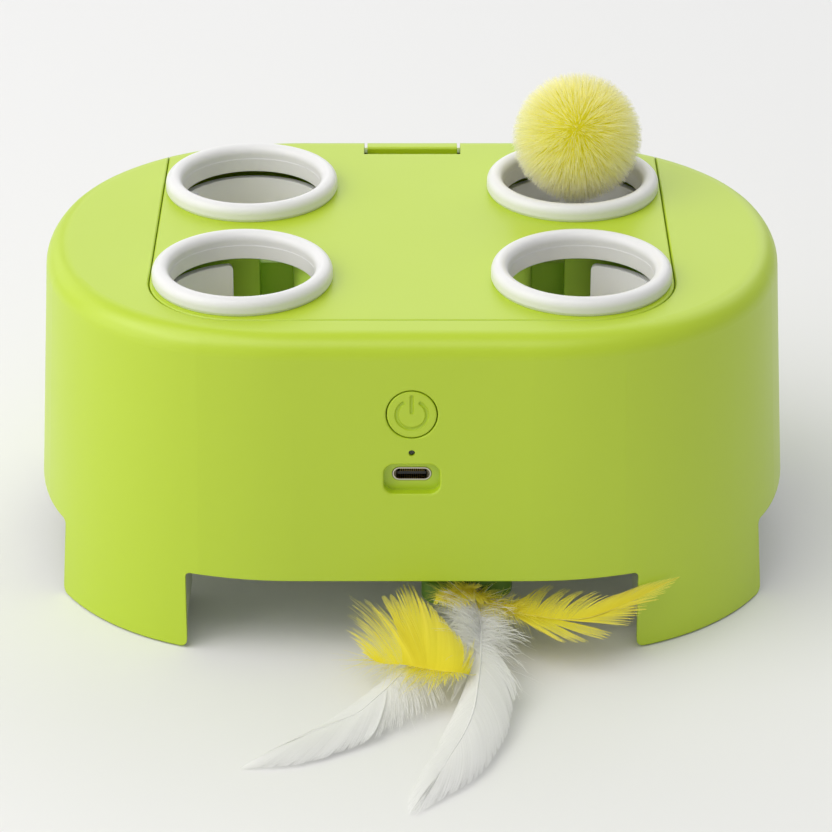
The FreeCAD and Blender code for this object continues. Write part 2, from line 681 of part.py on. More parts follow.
def make_drum():
    wall = tube(DRUM_R, DRUM_R - DRUM_WALL, DRUM_LOW_Z, DRUM_TOP_Z)
    floor = rod(DRUM_R, DRUM_LOW_Z, DRUM_LOW_Z + DRUM_FLOOR)
    flange = rod(DRUM_FLANGE_R, DRUM_FLANGE_Z, DRUM_FLANGE_Z + DRUM_FLANGE)
    flange = flange.cut(rod(DRUM_R - DRUM_WALL / 2, 0, DECK_Z))
    drum = joined(wall, floor, flange).cut(rod(LEAD_R + RUNNING, 0, DECK_Z))
    half = ARM_WIDTH / 2 + ARM_CLEAR
    window = box(DRUM_R / 2, ARM_RADIUS, -half, half, DRUM_LOW_Z + DRUM_FLOOR, DECK_Z)
    return turned(drum.cut(window), STATIONS[RAISED])


def make_crosshead():
    hub = rod(HUB_R, ARM_LOW_Z, ARM_LOW_Z + HUB_HEIGHT)
    half = ARM_WIDTH / 2
    arm = box(0, ARM_RADIUS, -half, half, ARM_LOW_Z, ARM_LOW_Z + ARM_THICK)
    head = joined(hub, arm).cut(rod(NUT_R + RING_FIT / 2, 0, DECK_Z))
    return lifted(turned(head, STATIONS[RAISED]), LIFT)


def make_lead_screw():
    """Steel screw, its thread drawn as rings, with a slim tip that runs in the feather shaft."""
    low = LEAD_GEAR_Z
    top = DRUM_TOP_Z + SEAT_GAP
    thread_low = DRUM_LOW_Z + DRUM_FLOOR + LEAD_PITCH / 2
    root = LEAD_R - LEAD_ROOT
    points = [Vector(0, 0, low), Vector(LEAD_R, 0, low), Vector(LEAD_R, 0, thread_low)]
    turns = int((top - thread_low) / LEAD_PITCH)
    for turn in range(turns):
        z = thread_low + turn * LEAD_PITCH
        points += [Vector(root, 0, z + 0.25 * LEAD_PITCH), Vector(root, 0, z + 0.5 * LEAD_PITCH),
                   Vector(LEAD_R, 0, z + 0.75 * LEAD_PITCH), Vector(LEAD_R, 0, z + LEAD_PITCH)]
    points += [Vector(0, 0, points[-1].z), Vector(0, 0, low)]
    screw = Part.Face(Part.makePolygon(points)).revolve(ORIGIN, UP, 360)
    return joined(screw, rod(LEAD_TIP_R, low - GEAR_THICK, low + 1))


def make_chassis():
    """Green bearing ring with motor pads, legs, and stepped screens that part the wells."""
    low, top = CHASSIS_LOW_Z, CHASSIS_TOP_Z
    ring = rod(CHASSIS_R, low, top)
    rear_y = CENTRES + PAD_REACH / 2
    pads = [box(-PAD_REAR_HALF, PAD_REAR_HALF, DRUM_R, rear_y, low, top),
            box(-PAD_FRONT_HALF, PAD_FRONT_HALF, -rear_y, -DRUM_R, low, top)]
    leg_y = CENTRES - PAD_REACH / 2
    legs = []
    for side in (1, -1):
        legs.append(rod(LEG_R, FLOOR_Z + SEAT_GAP, low + 1, side * (PAD_REAR_HALF - LEG_R), leg_y - LEG_R))
        legs.append(rod(LEG_R, FLOOR_Z + SEAT_GAP, low + 1, side * (PAD_FRONT_HALF - LEG_R), -leg_y))
        legs.append(rod(LEG_R, FLOOR_Z + SEAT_GAP, low + 1, side * (SCREEN_X + LEG_R), 0))
    half = SCREEN_THICK / 2
    back = SCREEN_BACK_Y + SCREEN_THICK
    screen = joined(
        box(SCREEN_X, SCREEN_END_X, -half, half, low, SCREEN_TOP_Z),
        box(SCREEN_X, SCREEN_X + SCREEN_THICK, -half, back, SCREEN_LOW_Z, SCREEN_TOP_Z),
        box(DRUM_R + SCREEN_DRUM_GAP, SCREEN_X + SCREEN_THICK, SCREEN_BACK_Y, back, SCREEN_LOW_Z, SCREEN_FORK_Z),
        box(DRUM_R + 1, SCREEN_END_X, -2 * half, 2 * half, low, top))
    chassis = joined(ring, *pads, *legs, *both_sides(screen)).cut(rod(DRUM_R + RING_CLEAR, 0, DRUM_FLANGE_Z))
    for azimuth in (TURN_AZIMUTH, LIFT_AZIMUTH, FEATHER_AZIMUTH):
        spot = polar(CENTRES, azimuth)
        chassis = chassis.cut(rod(SHAFT_R + RING_CLEAR, 0, top + 1, spot.x, spot.y))
        outer_d = MOTOR_DEPTH / 2 + CLIP_WALL + SEAT_GAP
        half_w = MOTOR_WIDTH / 2
        clip = box(CENTRES + MOTOR_DEPTH / 2 + SEAT_GAP, CENTRES + outer_d, -half_w, half_w,
                   low, top + CLIP_HEIGHT)
        chassis = joined(chassis, turned(clip, azimuth))
    return chassis


def make_base():
    """Floor plate inside the shell with four hollow foot boxes, shaft boss, board rails and cradle."""
    low = FLOOR_Z - FLOOR_THICK
    inset = WALL + BASE_CLEAR
    plate = body_block(inset, low, FLOOR_Z)
    feet = body_block(inset, BOX_BOTTOM_Z, low + FLOOR_THICK / 2)
    feet = feet.common(feet_region(BASE_CLEAR, BOX_BOTTOM_Z))
    hollow_z = BOX_BOTTOM_Z + BOX_WALL
    hollow = body_block(inset + BOX_WALL, hollow_z, FLOOR_Z + 1)
    hollow = hollow.common(feet_region(BASE_CLEAR + BOX_WALL, hollow_z))
    boss = rod(ROTOR_BOSS_R, ROTOR_BOSS_Z, low + 1)
    front = board_front_y()
    back = front + BOARD_THICK
    inner = BOARD_HALF_WIDTH - RAIL
    rail = box(inner, inner + 2 * RAIL, front - RAIL_DEPTH / 2, back + RAIL_DEPTH / 2,
               FLOOR_Z - 1, BOARD_TOP_Z - SWITCH_SIDE)
    rail = rail.cut(box(0, BOARD_HALF_WIDTH + SEAT_GAP, front - SEAT_GAP, back + SEAT_GAP,
                        BOARD_LOW_Z - SEAT_GAP, DECK_Z))
    extras = [boss, *both_sides(rail)]
    for end in (-1, 1):
        y0 = end * CRADLE_SPREAD * CELL_LENGTH / 2 - CRADLE_WALL / 2
        rib = box(-CELL_X - CELL_R, -CELL_X + CELL_R, y0, y0 + CRADLE_WALL, FLOOR_Z - 1, FLOOR_Z + CELL_R)
        cell = Part.makeCylinder(CELL_R + SEAT_GAP / 2, CELL_LENGTH, Vector(-CELL_X, -CELL_LENGTH / 2, cell_z()),
                                 BACK)
        extras.append(rib.cut(cell))
    base = joined(plate, feet).cut(hollow)
    base = joined(base, *extras).cut(rod(ROTOR_SHAFT_R + RUNNING, 0, DECK_Z))
    return base.cut(four_ways(rod(SCREW_R + RING_FIT, 0, FLOOR_Z + 1, POST_X, POST_Y)))


def port_floor_y():
    return front_wall_y(RECESS_Z) + PORT_DEPTH


def board_front_y():
    return port_floor_y() + PORT_LENGTH + SEAT_GAP / 2


def cell_z():
    return FLOOR_Z + 2 * SEAT_GAP + CELL_R


def flange_front_y():
    return front_wall_y(BUTTON_Z + BUTTON_FLANGE_R) + WALL + BUTTON_FLANGE_GAP


def make_button(outer):
    """Round cap that follows the wall, its flange inside, and the sunk power sign."""
    front = front_wall_y(BUTTON_Z)
    flange_y = flange_front_y()
    proud = front - WALL
    cap = Part.makeCylinder(BUTTON_R, flange_y + BUTTON_FLANGE / 2 - proud, Vector(0, proud, BUTTON_Z), BACK)
    flange = Part.makeCylinder(BUTTON_FLANGE_R, BUTTON_FLANGE, Vector(0, flange_y, BUTTON_Z), BACK)
    cap = cap.common(outer)
    cap = cap.makeFillet(BUTTON_EDGE_R, front_rim(cap, BUTTON_Z, BUTTON_R, BUTTON_R))
    return joined(cap, flange).cut(power_sign(front))


def power_sign(front):
    """Round-bottomed groove of the power sign, sunk by half its width into the leaning wall."""
    half = ICON_STROKE / 2
    centre = Vector(0, front, BUTTON_Z)
    groove = Part.makeTorus(ICON_R, half, centre, BACK)
    reach = 2 * ICON_R
    side = reach * math.tan(math.radians(ICON_OPEN_DEG))
    start = centre - reach * BACK
    corners = [start, start + Vector(side, 0, reach), start + Vector(-side, 0, reach), start]
    groove = groove.cut(Part.Face(Part.makePolygon(corners)).extrude(2 * reach * BACK))
    ends = [Part.makeSphere(half, centre + polar_up(ICON_R, side_sign * ICON_OPEN_DEG)) for side_sign in (-1, 1)]
    bar_low = centre + Vector(0, 0, 1.3 * half)
    bar = Part.makeCylinder(half, ICON_BAR - half, bar_low, UP)
    ends += [Part.makeSphere(half, bar_low), Part.makeSphere(half, bar_low + Vector(0, 0, ICON_BAR - half))]
    sign = Part.makeCompound([groove, bar, *ends])
    sign.rotate(centre, Vector(1, 0, 0), -DRAFT_DEG)
    return sign


def polar_up(radius, degrees):
    """A place in the XZ plane, as an angle from straight up."""
    angle = math.radians(degrees)
    return Vector(radius * math.sin(angle), 0, radius * math.cos(angle))


def make_switch():
    back = board_front_y()
    half = SWITCH_SIDE / 2
    body = box(-half, half, back - SWITCH_BODY, back, BUTTON_Z - half, BUTTON_Z + half)
    well = Part.makeCylinder(PLUNGER_R + RUNNING, SWITCH_BODY / 2 + 1, Vector(0, back - SWITCH_BODY - 1, BUTTON_Z),
                             BACK)
    return body.cut(well)


def make_plunger():
    front = flange_front_y() + BUTTON_FLANGE + SEAT_GAP / 2
    back = board_front_y() - SWITCH_BODY + PLUNGER_LENGTH / 2
    return Part.makeCylinder(PLUNGER_R, back - front, Vector(0, front, BUTTON_Z), BACK)


def make_board():
    y = board_front_y()
    return box(-BOARD_HALF_WIDTH, BOARD_HALF_WIDTH, y, y + BOARD_THICK, BOARD_LOW_Z, BOARD_TOP_Z)


def make_port_shell():
    width, height = PORT_SHELL
    y = port_floor_y()
    outer = rounded_prism(width, height, height / 2 - 0.01, y, y + PORT_LENGTH, PORT_Z)
    inner_w, inner_h = width - 2 * PORT_METAL, height - 2 * PORT_METAL
    bore = rounded_prism(inner_w, inner_h, inner_h / 2 - 0.01, y - 1, y + PORT_LENGTH - PORT_METAL, PORT_Z)
    return outer.cut(bore)


def make_port_tongue():
    width, height = TONGUE
    y = port_floor_y()
    return rounded_prism(width, height, height / 2 - 0.01, y + 2 * PORT_METAL, y + PORT_LENGTH - PORT_METAL, PORT_Z)


def make_light_pipe():
    start = front_wall_y(LIGHT_Z) + 2 * PORT_METAL
    length = board_front_y() - SEAT_GAP - start
    return Part.makeCylinder(LIGHT_R - RUNNING, length, Vector(0, start, LIGHT_Z), BACK)


def make_cell():
    return Part.makeCylinder(CELL_R, CELL_LENGTH, Vector(-CELL_X, -CELL_LENGTH / 2, cell_z()), BACK)


def make_pads():
    return Part.makeCompound(four_ways(rod(PAD_R, 0, BOX_BOTTOM_Z, PAD_X, PAD_Y)))


def make_screws():
    low = FLOOR_Z - FLOOR_THICK
    head = rod(SCREW_HEAD_R, low - SCREW_HEAD, low, POST_X, POST_Y)
    shank = rod(SCREW_R - RUNNING / 2, low - 1, FLOOR_Z + SCREW_LENGTH - 1, POST_X, POST_Y)
    return Part.makeCompound(four_ways(joined(head, shank)))


def make_rotor():
    """Hub and arm of the feather rotor, with the long pad at its end that grips the ferrule."""
    hub = rod(ROTOR_HUB_R, ROTOR_HUB_LOW_Z, ROTOR_HUB_TOP_Z)
    half = ROTOR_ARM_WIDTH / 2
    arm = box(0, ROTOR_ARM_REACH, -half, half, ROTOR_ARM_LOW_Z, ROTOR_ARM_LOW_Z + ROTOR_ARM_THICK)
    centre_y = ROTOR_PAD_LENGTH / 2 - ROTOR_PAD_R
    pad = box(ROTOR_ARM_REACH - ROTOR_PAD_R, ROTOR_ARM_REACH + ROTOR_PAD_R, -centre_y, centre_y,
              ROTOR_PAD_LOW_Z, ROTOR_PAD_TOP_Z)
    ends = [rod(ROTOR_PAD_R, ROTOR_PAD_LOW_Z, ROTOR_PAD_TOP_Z, ROTOR_ARM_REACH, y) for y in (-centre_y, centre_y)]
    pad = joined(pad, *ends)
    pad = pad.makeFillet(ROTOR_PAD_EDGE_R, [e for e in pad.Edges if abs(e.tangentAt(e.FirstParameter).z) < 0.1])
    rotor = joined(hub, arm, pad).cut(rod(ROTOR_SHAFT_R, ROTOR_HUB_LOW_Z + 2, DECK_Z))
    rotor = rotor.cut(ferrule_form())
    return turned(rotor, ROTOR_ARM_AZIMUTH)


def ferrule_form():
    return Part.makeCylinder(FERRULE_R, FERRULE_LENGTH, Vector(FERRULE_START, 0, FERRULE_Z), Vector(1, 0, 0))


def make_ferrule():
    """Crimped metal sleeve that holds the quills."""
    half = FERRULE_LENGTH / 2
    bore = Part.makeCylinder(FERRULE_R - FERRULE_WALL, half,
                             Vector(FERRULE_START + half, 0, FERRULE_Z), Vector(1, 0, 0))
    return turned(ferrule_form().cut(bore), ROTOR_ARM_AZIMUTH)


def make_rotor_shaft():
    top = FEATHER_GEAR_Z + GEAR_THICK
    shaft = rod(ROTOR_SHAFT_R, ROTOR_HUB_LOW_Z + 2, top)
    return shaft.cut(rod(LEAD_TIP_R + RUNNING, LEAD_GEAR_Z - GEAR_THICK - GEAR_GAP, top + 1))


def feather(spine, widths, across):
    """A thin curved blade: stations along the quill, each a slim four-sided section."""
    wires = []
    last = len(spine) - 1
    for i, (point, width) in enumerate(zip(spine, widths)):
        ahead = spine[min(i + 1, last)]
        behind = spine[max(i - 1, 0)]
        along = (ahead - behind).normalize()
        side = (across - along * across.dot(along)).normalize()
        normal = along.cross(side)
        half = FEATHER_THICK / 2
        corners = [point + side * width / 2, point + normal * half, point - side * width / 2, point - normal * half]
        wires.append(Part.makePolygon(corners + corners[:1]))
    return Part.makeLoft(wires, True, True)


def make_feathers():
    """Quills leave the ferrule's mouth and fan out over the floor in front of the toy.

    Each course starts at the mouth. Its later places are told across from the mouth, and outwards from
    the front wall's lower edge.
    """
    mouth = polar(FERRULE_START + FERRULE_LENGTH + QUILL_GAP, ROTOR_ARM_AZIMUTH)
    foot = Vector(mouth.x, front_wall_y(ARCH_HEIGHT), 0)
    forms = {
        "feather_white_left": (
            (-0.9, 0, 11.8), [(-9.9, -12.9, 7), (-21.9, -30.9, 3.8), (-34.9, -40.4, 2.2), (-53.4, -50.8, 1.2)],
            [1, 9, 13, 10, 1.5], (1, -0.9, 0)),
        "feather_white_front": (
            (0.5, 0, 12.6), [(1.1, -9.9, 8), (-0.9, -31.9, 4.8), (-5.9, -50.9, 2.8), (-14.9, -70.1, 1.2)],
            [1, 9, 15, 13, 1.5], (1, 0, 0)),
        "feather_yellow_left": (
            (-0.9, 0, 13.9), [(-1.9, -5.9, 13.4), (-8.9, -12.9, 12.6), (-18.9, -11.9, 13), (-27.9, -5.9, 14)],
            [1, 8, 16, 16, 3], (-0.3, 1, 0.35)),
        "feather_yellow_right": (
            (1.2, 0, 13.8), [(9.8, -0.4, 11.8), (23.7, -5.1, 12), (36.2, -3.1, 14), (48.1, 6.6, 17)],
            [1, 8, 14, 10, 1], (0.1, -1, -0.45)),
        "feather_yellow_small": (
            (0.1, 0, 15), [(-4.4, 1.2, 15.9), (-10.4, 2.6, 15.5)],
            [1, 6, 2], (0.2, 1, 0.3)),
    }
    feathers = {}
    for name, (start, course, widths, across) in forms.items():
        spine = [mouth + Vector(*start)] + [foot + Vector(*point) for point in course]
        feathers[name] = feather(spine, widths, Vector(*across))
    return feathers


def build():
    """All nodes by name."""
    outer = outer_form()
    nodes = {
        "shell": make_shell(outer),
        "lid": make_lid(outer),
        "latch_tab": make_latch(outer),
        "base_plate": make_base(),
        "foot_pads": make_pads(),
        "base_screws": make_screws(),
        "chassis": make_chassis(),
        "selector_drum": make_drum(),
        "drum_gear": involute_gear(GEAR_TEETH, DRUM_GEAR_Z, DRUM_LOW_Z, DRUM_R - 3 * DRUM_WALL),
        "crosshead": make_crosshead(),
        "lift_nut": lifted(tube(NUT_R, LEAD_R + RUNNING, ARM_LOW_Z, ARM_LOW_Z + HUB_HEIGHT), LIFT),
        "lead_screw": make_lead_screw(),
        "lead_gear": involute_gear(GEAR_TEETH, LEAD_GEAR_Z, LEAD_GEAR_Z + GEAR_THICK, LEAD_R),
        "feather_gear": involute_gear(GEAR_TEETH, FEATHER_GEAR_Z, FEATHER_GEAR_Z + GEAR_THICK, ROTOR_SHAFT_R),
        "turn_pinion": make_pinion(TURN_AZIMUTH, DRUM_GEAR_Z),
        "lift_pinion": make_pinion(LIFT_AZIMUTH, LEAD_GEAR_Z),
        "feather_pinion": make_pinion(FEATHER_AZIMUTH, FEATHER_GEAR_Z),
        "turn_motor": make_motor(TURN_AZIMUTH),
        "lift_motor": make_motor(LIFT_AZIMUTH),
        "feather_motor": make_motor(FEATHER_AZIMUTH),
        "rotor_shaft": make_rotor_shaft(),
        "feather_rotor": make_rotor(),
        "ferrule": make_ferrule(),
        "power_button": make_button(outer),
        "switch_plunger": make_plunger(),
        "switch_body": make_switch(),
        "circuit_board": make_board(),
        "port_shell": make_port_shell(),
        "port_tongue": make_port_tongue(),
        "light_pipe": make_light_pipe(),
        "battery_cell": make_cell(),
    }
    nodes.update(make_feathers())
    ring, well, carriage, pom = make_ring(), make_well(), make_carriage(), make_pom()
    for station, azimuth in STATIONS.items():
        height = LIFT if station == RAISED else 0.0
        spot = polar(STATION_R, azimuth)
        placed = ring.copy()
        placed.translate(spot)
        nodes["ring_" + station] = placed
        nodes["well_" + station] = turned(well, azimuth)
        nodes["carriage_" + station] = lifted(turned(carriage, azimuth), height)
        nodes["pompom_" + station] = lifted(turned(pom, azimuth), height)
    return nodes


os.makedirs("parts", exist_ok=True)
for node, shape in build().items():
    shape.exportStep("parts/" + node + ".step")
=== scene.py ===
"""Looks of the pop-up cat toy: finishes, fur, feathers and a plain studio around its frame."""

import logging
import math
from dataclasses import dataclass
from enum import Enum

import bpy
import numpy as np
from bpy.types import Material, Mesh, Node, NodeSocket, NodeTree, Object
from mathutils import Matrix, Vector


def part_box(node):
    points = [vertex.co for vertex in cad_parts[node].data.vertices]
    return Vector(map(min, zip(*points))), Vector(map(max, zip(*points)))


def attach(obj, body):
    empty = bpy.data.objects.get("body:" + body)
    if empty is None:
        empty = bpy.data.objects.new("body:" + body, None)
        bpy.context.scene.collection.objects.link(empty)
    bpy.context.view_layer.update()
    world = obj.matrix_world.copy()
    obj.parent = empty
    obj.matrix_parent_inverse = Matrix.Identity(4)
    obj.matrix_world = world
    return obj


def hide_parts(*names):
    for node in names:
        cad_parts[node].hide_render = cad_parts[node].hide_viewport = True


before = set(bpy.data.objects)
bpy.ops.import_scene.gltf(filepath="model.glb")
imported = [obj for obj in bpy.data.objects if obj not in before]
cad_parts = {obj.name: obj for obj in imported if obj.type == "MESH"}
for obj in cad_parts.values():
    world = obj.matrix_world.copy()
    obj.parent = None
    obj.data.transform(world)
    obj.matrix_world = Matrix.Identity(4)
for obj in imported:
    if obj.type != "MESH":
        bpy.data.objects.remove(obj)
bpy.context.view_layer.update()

LOG = logging.getLogger("cat_toy")
MM = 0.001
UP = np.array([0.0, 0.0, 1.0])
STATIONS = ("back_right", "back_left", "front_left", "front_right")
Rgb = tuple[float, float, float]
Rgba = tuple[float, float, float, float]
Point = tuple[float, float, float]
Span = tuple[float, float]
WHITE: Rgba = (1.0, 1.0, 1.0, 1.0)


class Effect(Enum):
    """Shared shader effects, by the name of their node group."""

    GRAIN = "mould_grain"
    TONE = "soft_tone"
    STRAND = "strand_tint"
    BRUSH = "brushed_lines"
    PADS = "contact_rows"


def linear(colour: Rgb) -> Rgba:
    """Turn screen colour into the linear colour that shaders take.

    Args:
        colour: red, green and blue from 0 to 1 as they show on a screen.

    Returns:
        Linear red, green, blue and an alpha of 1.
    """
    steps = [c / 12.92 if c <= 0.04045 else ((c + 0.055) / 1.055) ** 2.4 for c in colour]
    return (steps[0], steps[1], steps[2], 1.0)


class NodeSheet:
    """A small hand for wiring shader nodes in one tree."""

    def __init__(self, tree: NodeTree) -> None:
        """Keep the tree to wire.

        Args:
            tree: a material's or a group's node tree.
        """
        self.tree = tree

    def add(self, kind: str, **values: object) -> Node:
        """Add a node and set its inputs or properties by name.

        Args:
            kind: the node's type name.
            values: property names, or input names with _ for spaces.

        Returns:
            The new node.
        """
        node = self.tree.nodes.new(kind)
        for name in [name for name in values if hasattr(node, name)]:
            setattr(node, name, values.pop(name))
        return self.fill(node, **values)

    def feed(self, node: Node, name: str | int, value: object) -> None:
        """Set an input, or link a socket to it.

        Args:
            node: the node that takes the value.
            name: the input's name or number.
            value: a plain value or an output socket.
        """
        socket = node.inputs[name]
        if isinstance(value, NodeSocket):
            self.tree.links.new(value, socket)
        else:
            socket.default_value = value

    def fill(self, node: Node, **values: object) -> Node:
        """Feed several inputs by name.

        Args:
            node: the node that takes the values.
            values: input names with _ for spaces.

        Returns:
            The same node.
        """
        for name, value in values.items():
            self.feed(node, name.replace("_", " "), value)
        return node

    def math(self, operation: str, *values: object) -> NodeSocket:
        """Add a math node.

        Args:
            operation: the math operation.
            values: its inputs in order.

        Returns:
            The result socket.
        """
        node = self.tree.nodes.new("ShaderNodeMath")
        node.operation = operation
        for number, value in enumerate(values):
            self.feed(node, number, value)
        return node.outputs[0]

    def blend(self, share: object, first: object, second: object) -> NodeSocket:
        """Mix two colours.

        Args:
            share: how much of the second colour shows.
            first: the colour at 0.
            second: the colour at 1.

        Returns:
            The mixed colour socket.
        """
        node = self.tree.nodes.new("ShaderNodeMix")
        node.data_type = "RGBA"
        for number, value in ((0, share), (6, first), (7, second)):
            self.feed(node, number, value)
        return node.outputs[2]

    def place(self) -> NodeSocket:
        """Return the socket that gives places on the object."""
        return self.add("ShaderNodeTexCoord").outputs["Object"]


class EffectShelf:
    """Builds each shared effect once and hands it out."""

    COLOURS = {"Colour", "Other", "Root", "Body", "Tip", "Tint"}
    ROOT_FADE = 2.2
    ROOT_BLEND = 0.2
    TIP_POWER = 2.5
    LINE_STRETCH = (1.0, 1.0, 0.04)
    LINE_SPREAD = 0.25
    PAD_START = 0.45
    FLAT_FACE = 0.7

    def __init__(self) -> None:
        """Start with an empty shelf and a maker for each effect."""
        self.made: dict[Effect, NodeTree] = {}
        self.makers = {
            Effect.GRAIN: self._grain,
            Effect.TONE: self._tone,
            Effect.STRAND: self._strand,
            Effect.BRUSH: self._brush,
            Effect.PADS: self._pads,
        }

    def place(self, sheet: NodeSheet, effect: Effect, **values: object) -> Node:
        """Put an effect into a material with its own values.

        Its node group is built on first use.

        Args:
            sheet: the material's sheet.
            effect: which effect.
            values: input names with _ for spaces.

        Returns:
            The group node.
        """
        if effect not in self.made:
            self.made[effect] = self.makers[effect]()
        node = sheet.tree.nodes.new("ShaderNodeGroup")
        node.node_tree = self.made[effect]
        return sheet.fill(node, **values)

    def _start(
        self, effect: Effect, inputs: str, outputs: str
    ) -> tuple[NodeSheet, dict[str, NodeSocket], Node]:
        """Open a new group with its sockets.

        Args:
            effect: names the group.
            inputs: socket names with spaces between.
            outputs: socket names with spaces between.

        Returns:
            The sheet, the input sockets by name, and the output node.
        """
        tree = bpy.data.node_groups.new(effect.value, "ShaderNodeTree")
        for in_out, names in (("INPUT", inputs), ("OUTPUT", outputs)):
            for name in names.split():
                kind = "NodeSocketColor" if name in self.COLOURS else "NodeSocketFloat"
                tree.interface.new_socket(name, in_out=in_out, socket_type=kind)
        entry = tree.nodes.new("NodeGroupInput")
        leave = tree.nodes.new("NodeGroupOutput")
        return NodeSheet(tree), {name: entry.outputs[name] for name in inputs.split()}, leave

    def _grain(self) -> NodeTree:
        """Fine spark-eroded mould grain: a height, and a roughness that changes over the surface.

        Returns:
            The group's node tree.
        """
        sheet, given, leave = self._start(Effect.GRAIN, "Scale Roughness Spread", "Height Roughness")
        where = sheet.place()
        pits = sheet.add("ShaderNodeTexNoise", Vector=where, Scale=given["Scale"], Detail=3.0)
        patch = sheet.add("ShaderNodeTexNoise", Vector=where, Scale=45.0, Detail=2.0)
        swing = sheet.math("MULTIPLY", sheet.math("SUBTRACT", patch.outputs[0], 0.5), given["Spread"])
        sheet.fill(leave, Height=pits.outputs[0], Roughness=sheet.math("ADD", given["Roughness"], swing))
        return sheet.tree

    def _tone(self) -> NodeTree:
        """Slow change of tone, as moulded resin has.

        Returns:
            The group's node tree.
        """
        sheet, given, leave = self._start(Effect.TONE, "Colour Other Scale Amount", "Colour")
        cloud = sheet.add("ShaderNodeTexNoise", Vector=sheet.place(), Scale=given["Scale"], Detail=4.0)
        share = sheet.math("MULTIPLY", cloud.outputs[0], given["Amount"])
        sheet.fill(leave, Colour=sheet.blend(share, given["Colour"], given["Other"]))
        return sheet.tree

    def _strand(self) -> NodeTree:
        """Colour along a hair or barb, from root to tip, with its own tint.

        Returns:
            The group's node tree.
        """
        sheet, given, leave = self._start(Effect.STRAND, "Root Body Tip Tint Tinting", "Colour")
        along = sheet.add("ShaderNodeAttribute", attribute_name="along").outputs["Fac"]
        own = sheet.add("ShaderNodeAttribute", attribute_name="tint").outputs["Fac"]
        low = sheet.math("SMOOTH_MIN", sheet.math("MULTIPLY", along, self.ROOT_FADE), 1.0, self.ROOT_BLEND)
        high = sheet.math("POWER", along, self.TIP_POWER)
        colour = sheet.blend(high, sheet.blend(low, given["Root"], given["Body"]), given["Tip"])
        share = sheet.math("MULTIPLY", sheet.math("MULTIPLY", own, given["Tinting"]), low)
        sheet.fill(leave, Colour=sheet.blend(share, colour, given["Tint"]))
        return sheet.tree

    def _brush(self) -> NodeTree:
        """Fine drawn lines on metal.

        Returns:
            The group's node tree.
        """
        sheet, given, leave = self._start(Effect.BRUSH, "Scale Roughness", "Height Roughness")
        stretch = sheet.add("ShaderNodeMapping", Vector=sheet.place(), Scale=self.LINE_STRETCH)
        lines = sheet.add("ShaderNodeTexNoise", Vector=stretch.outputs[0], Scale=given["Scale"], Detail=5.0)
        swing = sheet.math("MULTIPLY", sheet.math("SUBTRACT", lines.outputs[0], 0.5), self.LINE_SPREAD)
        sheet.fill(leave, Height=lines.outputs[0], Roughness=sheet.math("ADD", given["Roughness"], swing))
        return sheet.tree

    def _pads(self) -> NodeTree:
        """Mask of evenly pitched pads on faces that look up or down.

        Returns:
            The group's node tree.
        """
        sheet, given, leave = self._start(Effect.PADS, "Pitch Reach", "Mask")
        across = sheet.add("ShaderNodeSeparateXYZ", Vector=sheet.place()).outputs["X"]
        normal = sheet.add("ShaderNodeNewGeometry").outputs["Normal"]
        facing = sheet.add("ShaderNodeSeparateXYZ", Vector=normal).outputs["Z"]
        phase = sheet.math("FRACT", sheet.math("DIVIDE", across, given["Pitch"]))
        pad = sheet.math("GREATER_THAN", phase, self.PAD_START)
        flat = sheet.math("GREATER_THAN", sheet.math("ABSOLUTE", facing), self.FLAT_FACE)
        inside = sheet.math("LESS_THAN", sheet.math("ABSOLUTE", across), given["Reach"])
        sheet.fill(leave, Mask=sheet.math("MULTIPLY", sheet.math("MULTIPLY", pad, flat), inside))
        return sheet.tree


SHELF = EffectShelf()


@dataclass(frozen=True)
class Finish:
    """A named material, wired by each kind of finish in its own way."""

    name: str

    def build(self) -> Material:
        """Make the material.

        Returns:
            The finished material.
        """
        material = bpy.data.materials.new(self.name)
        material.use_nodes = True
        self.wire(NodeSheet(material.node_tree), material.node_tree.nodes["Principled BSDF"])
        return material

    def wire(self, sheet: NodeSheet, surface: Node) -> None:
        """Wire the surface.

        Args:
            sheet: the material's sheet.
            surface: its surface shader.
        """
        raise NotImplementedError


@dataclass(frozen=True)
class MouldedPlastic(Finish):
    """Injection-moulded plastic with a fine mould grain."""

    colour: Rgb
    shade: Rgb
    roughness: float = 0.4
    grain: float = 1800.0
    depth: float = 0.02
    coat: float = 0.0
    gloss: float = 0.5
    edge: float = 0.3 * MM

    def wire(self, sheet: NodeSheet, surface: Node) -> None:
        """Wire tone, grain and softened edges.

        Args:
            sheet: the material's sheet.
            surface: its surface shader.
        """
        tone = SHELF.place(sheet, Effect.TONE, Colour=linear(self.colour), Other=linear(self.shade),
                           Scale=14.0, Amount=0.5)
        grain = SHELF.place(sheet, Effect.GRAIN, Scale=self.grain, Roughness=self.roughness, Spread=0.06)
        edge = sheet.add("ShaderNodeBevel", Radius=self.edge)
        bump = sheet.add("ShaderNodeBump", Height=grain.outputs["Height"], Strength=self.depth,
                         Distance=0.2 * MM, Normal=edge.outputs[0])
        sheet.fill(surface, Base_Color=tone.outputs[0], Roughness=grain.outputs["Roughness"],
                   Normal=bump.outputs[0], Coat_Weight=self.coat, Specular_IOR_Level=self.gloss)


@dataclass(frozen=True)
class ContactPlastic(Finish):
    """Dark plastic tongue with rows of plated contacts."""

    colour: Rgb
    plating: Rgb
    pitch: float = 0.5 * MM
    reach: float = 2.9 * MM
    sheen: float = 0.3

    def wire(self, sheet: NodeSheet, surface: Node) -> None:
        """Wire the plated rows.

        Args:
            sheet: the material's sheet.
            surface: its surface shader.
        """
        rows = SHELF.place(sheet, Effect.PADS, Pitch=self.pitch, Reach=self.reach).outputs[0]
        sheet.fill(surface, Base_Color=sheet.blend(rows, linear(self.colour), linear(self.plating)),
                   Metallic=sheet.math("MULTIPLY", rows, self.sheen), Roughness=0.35)


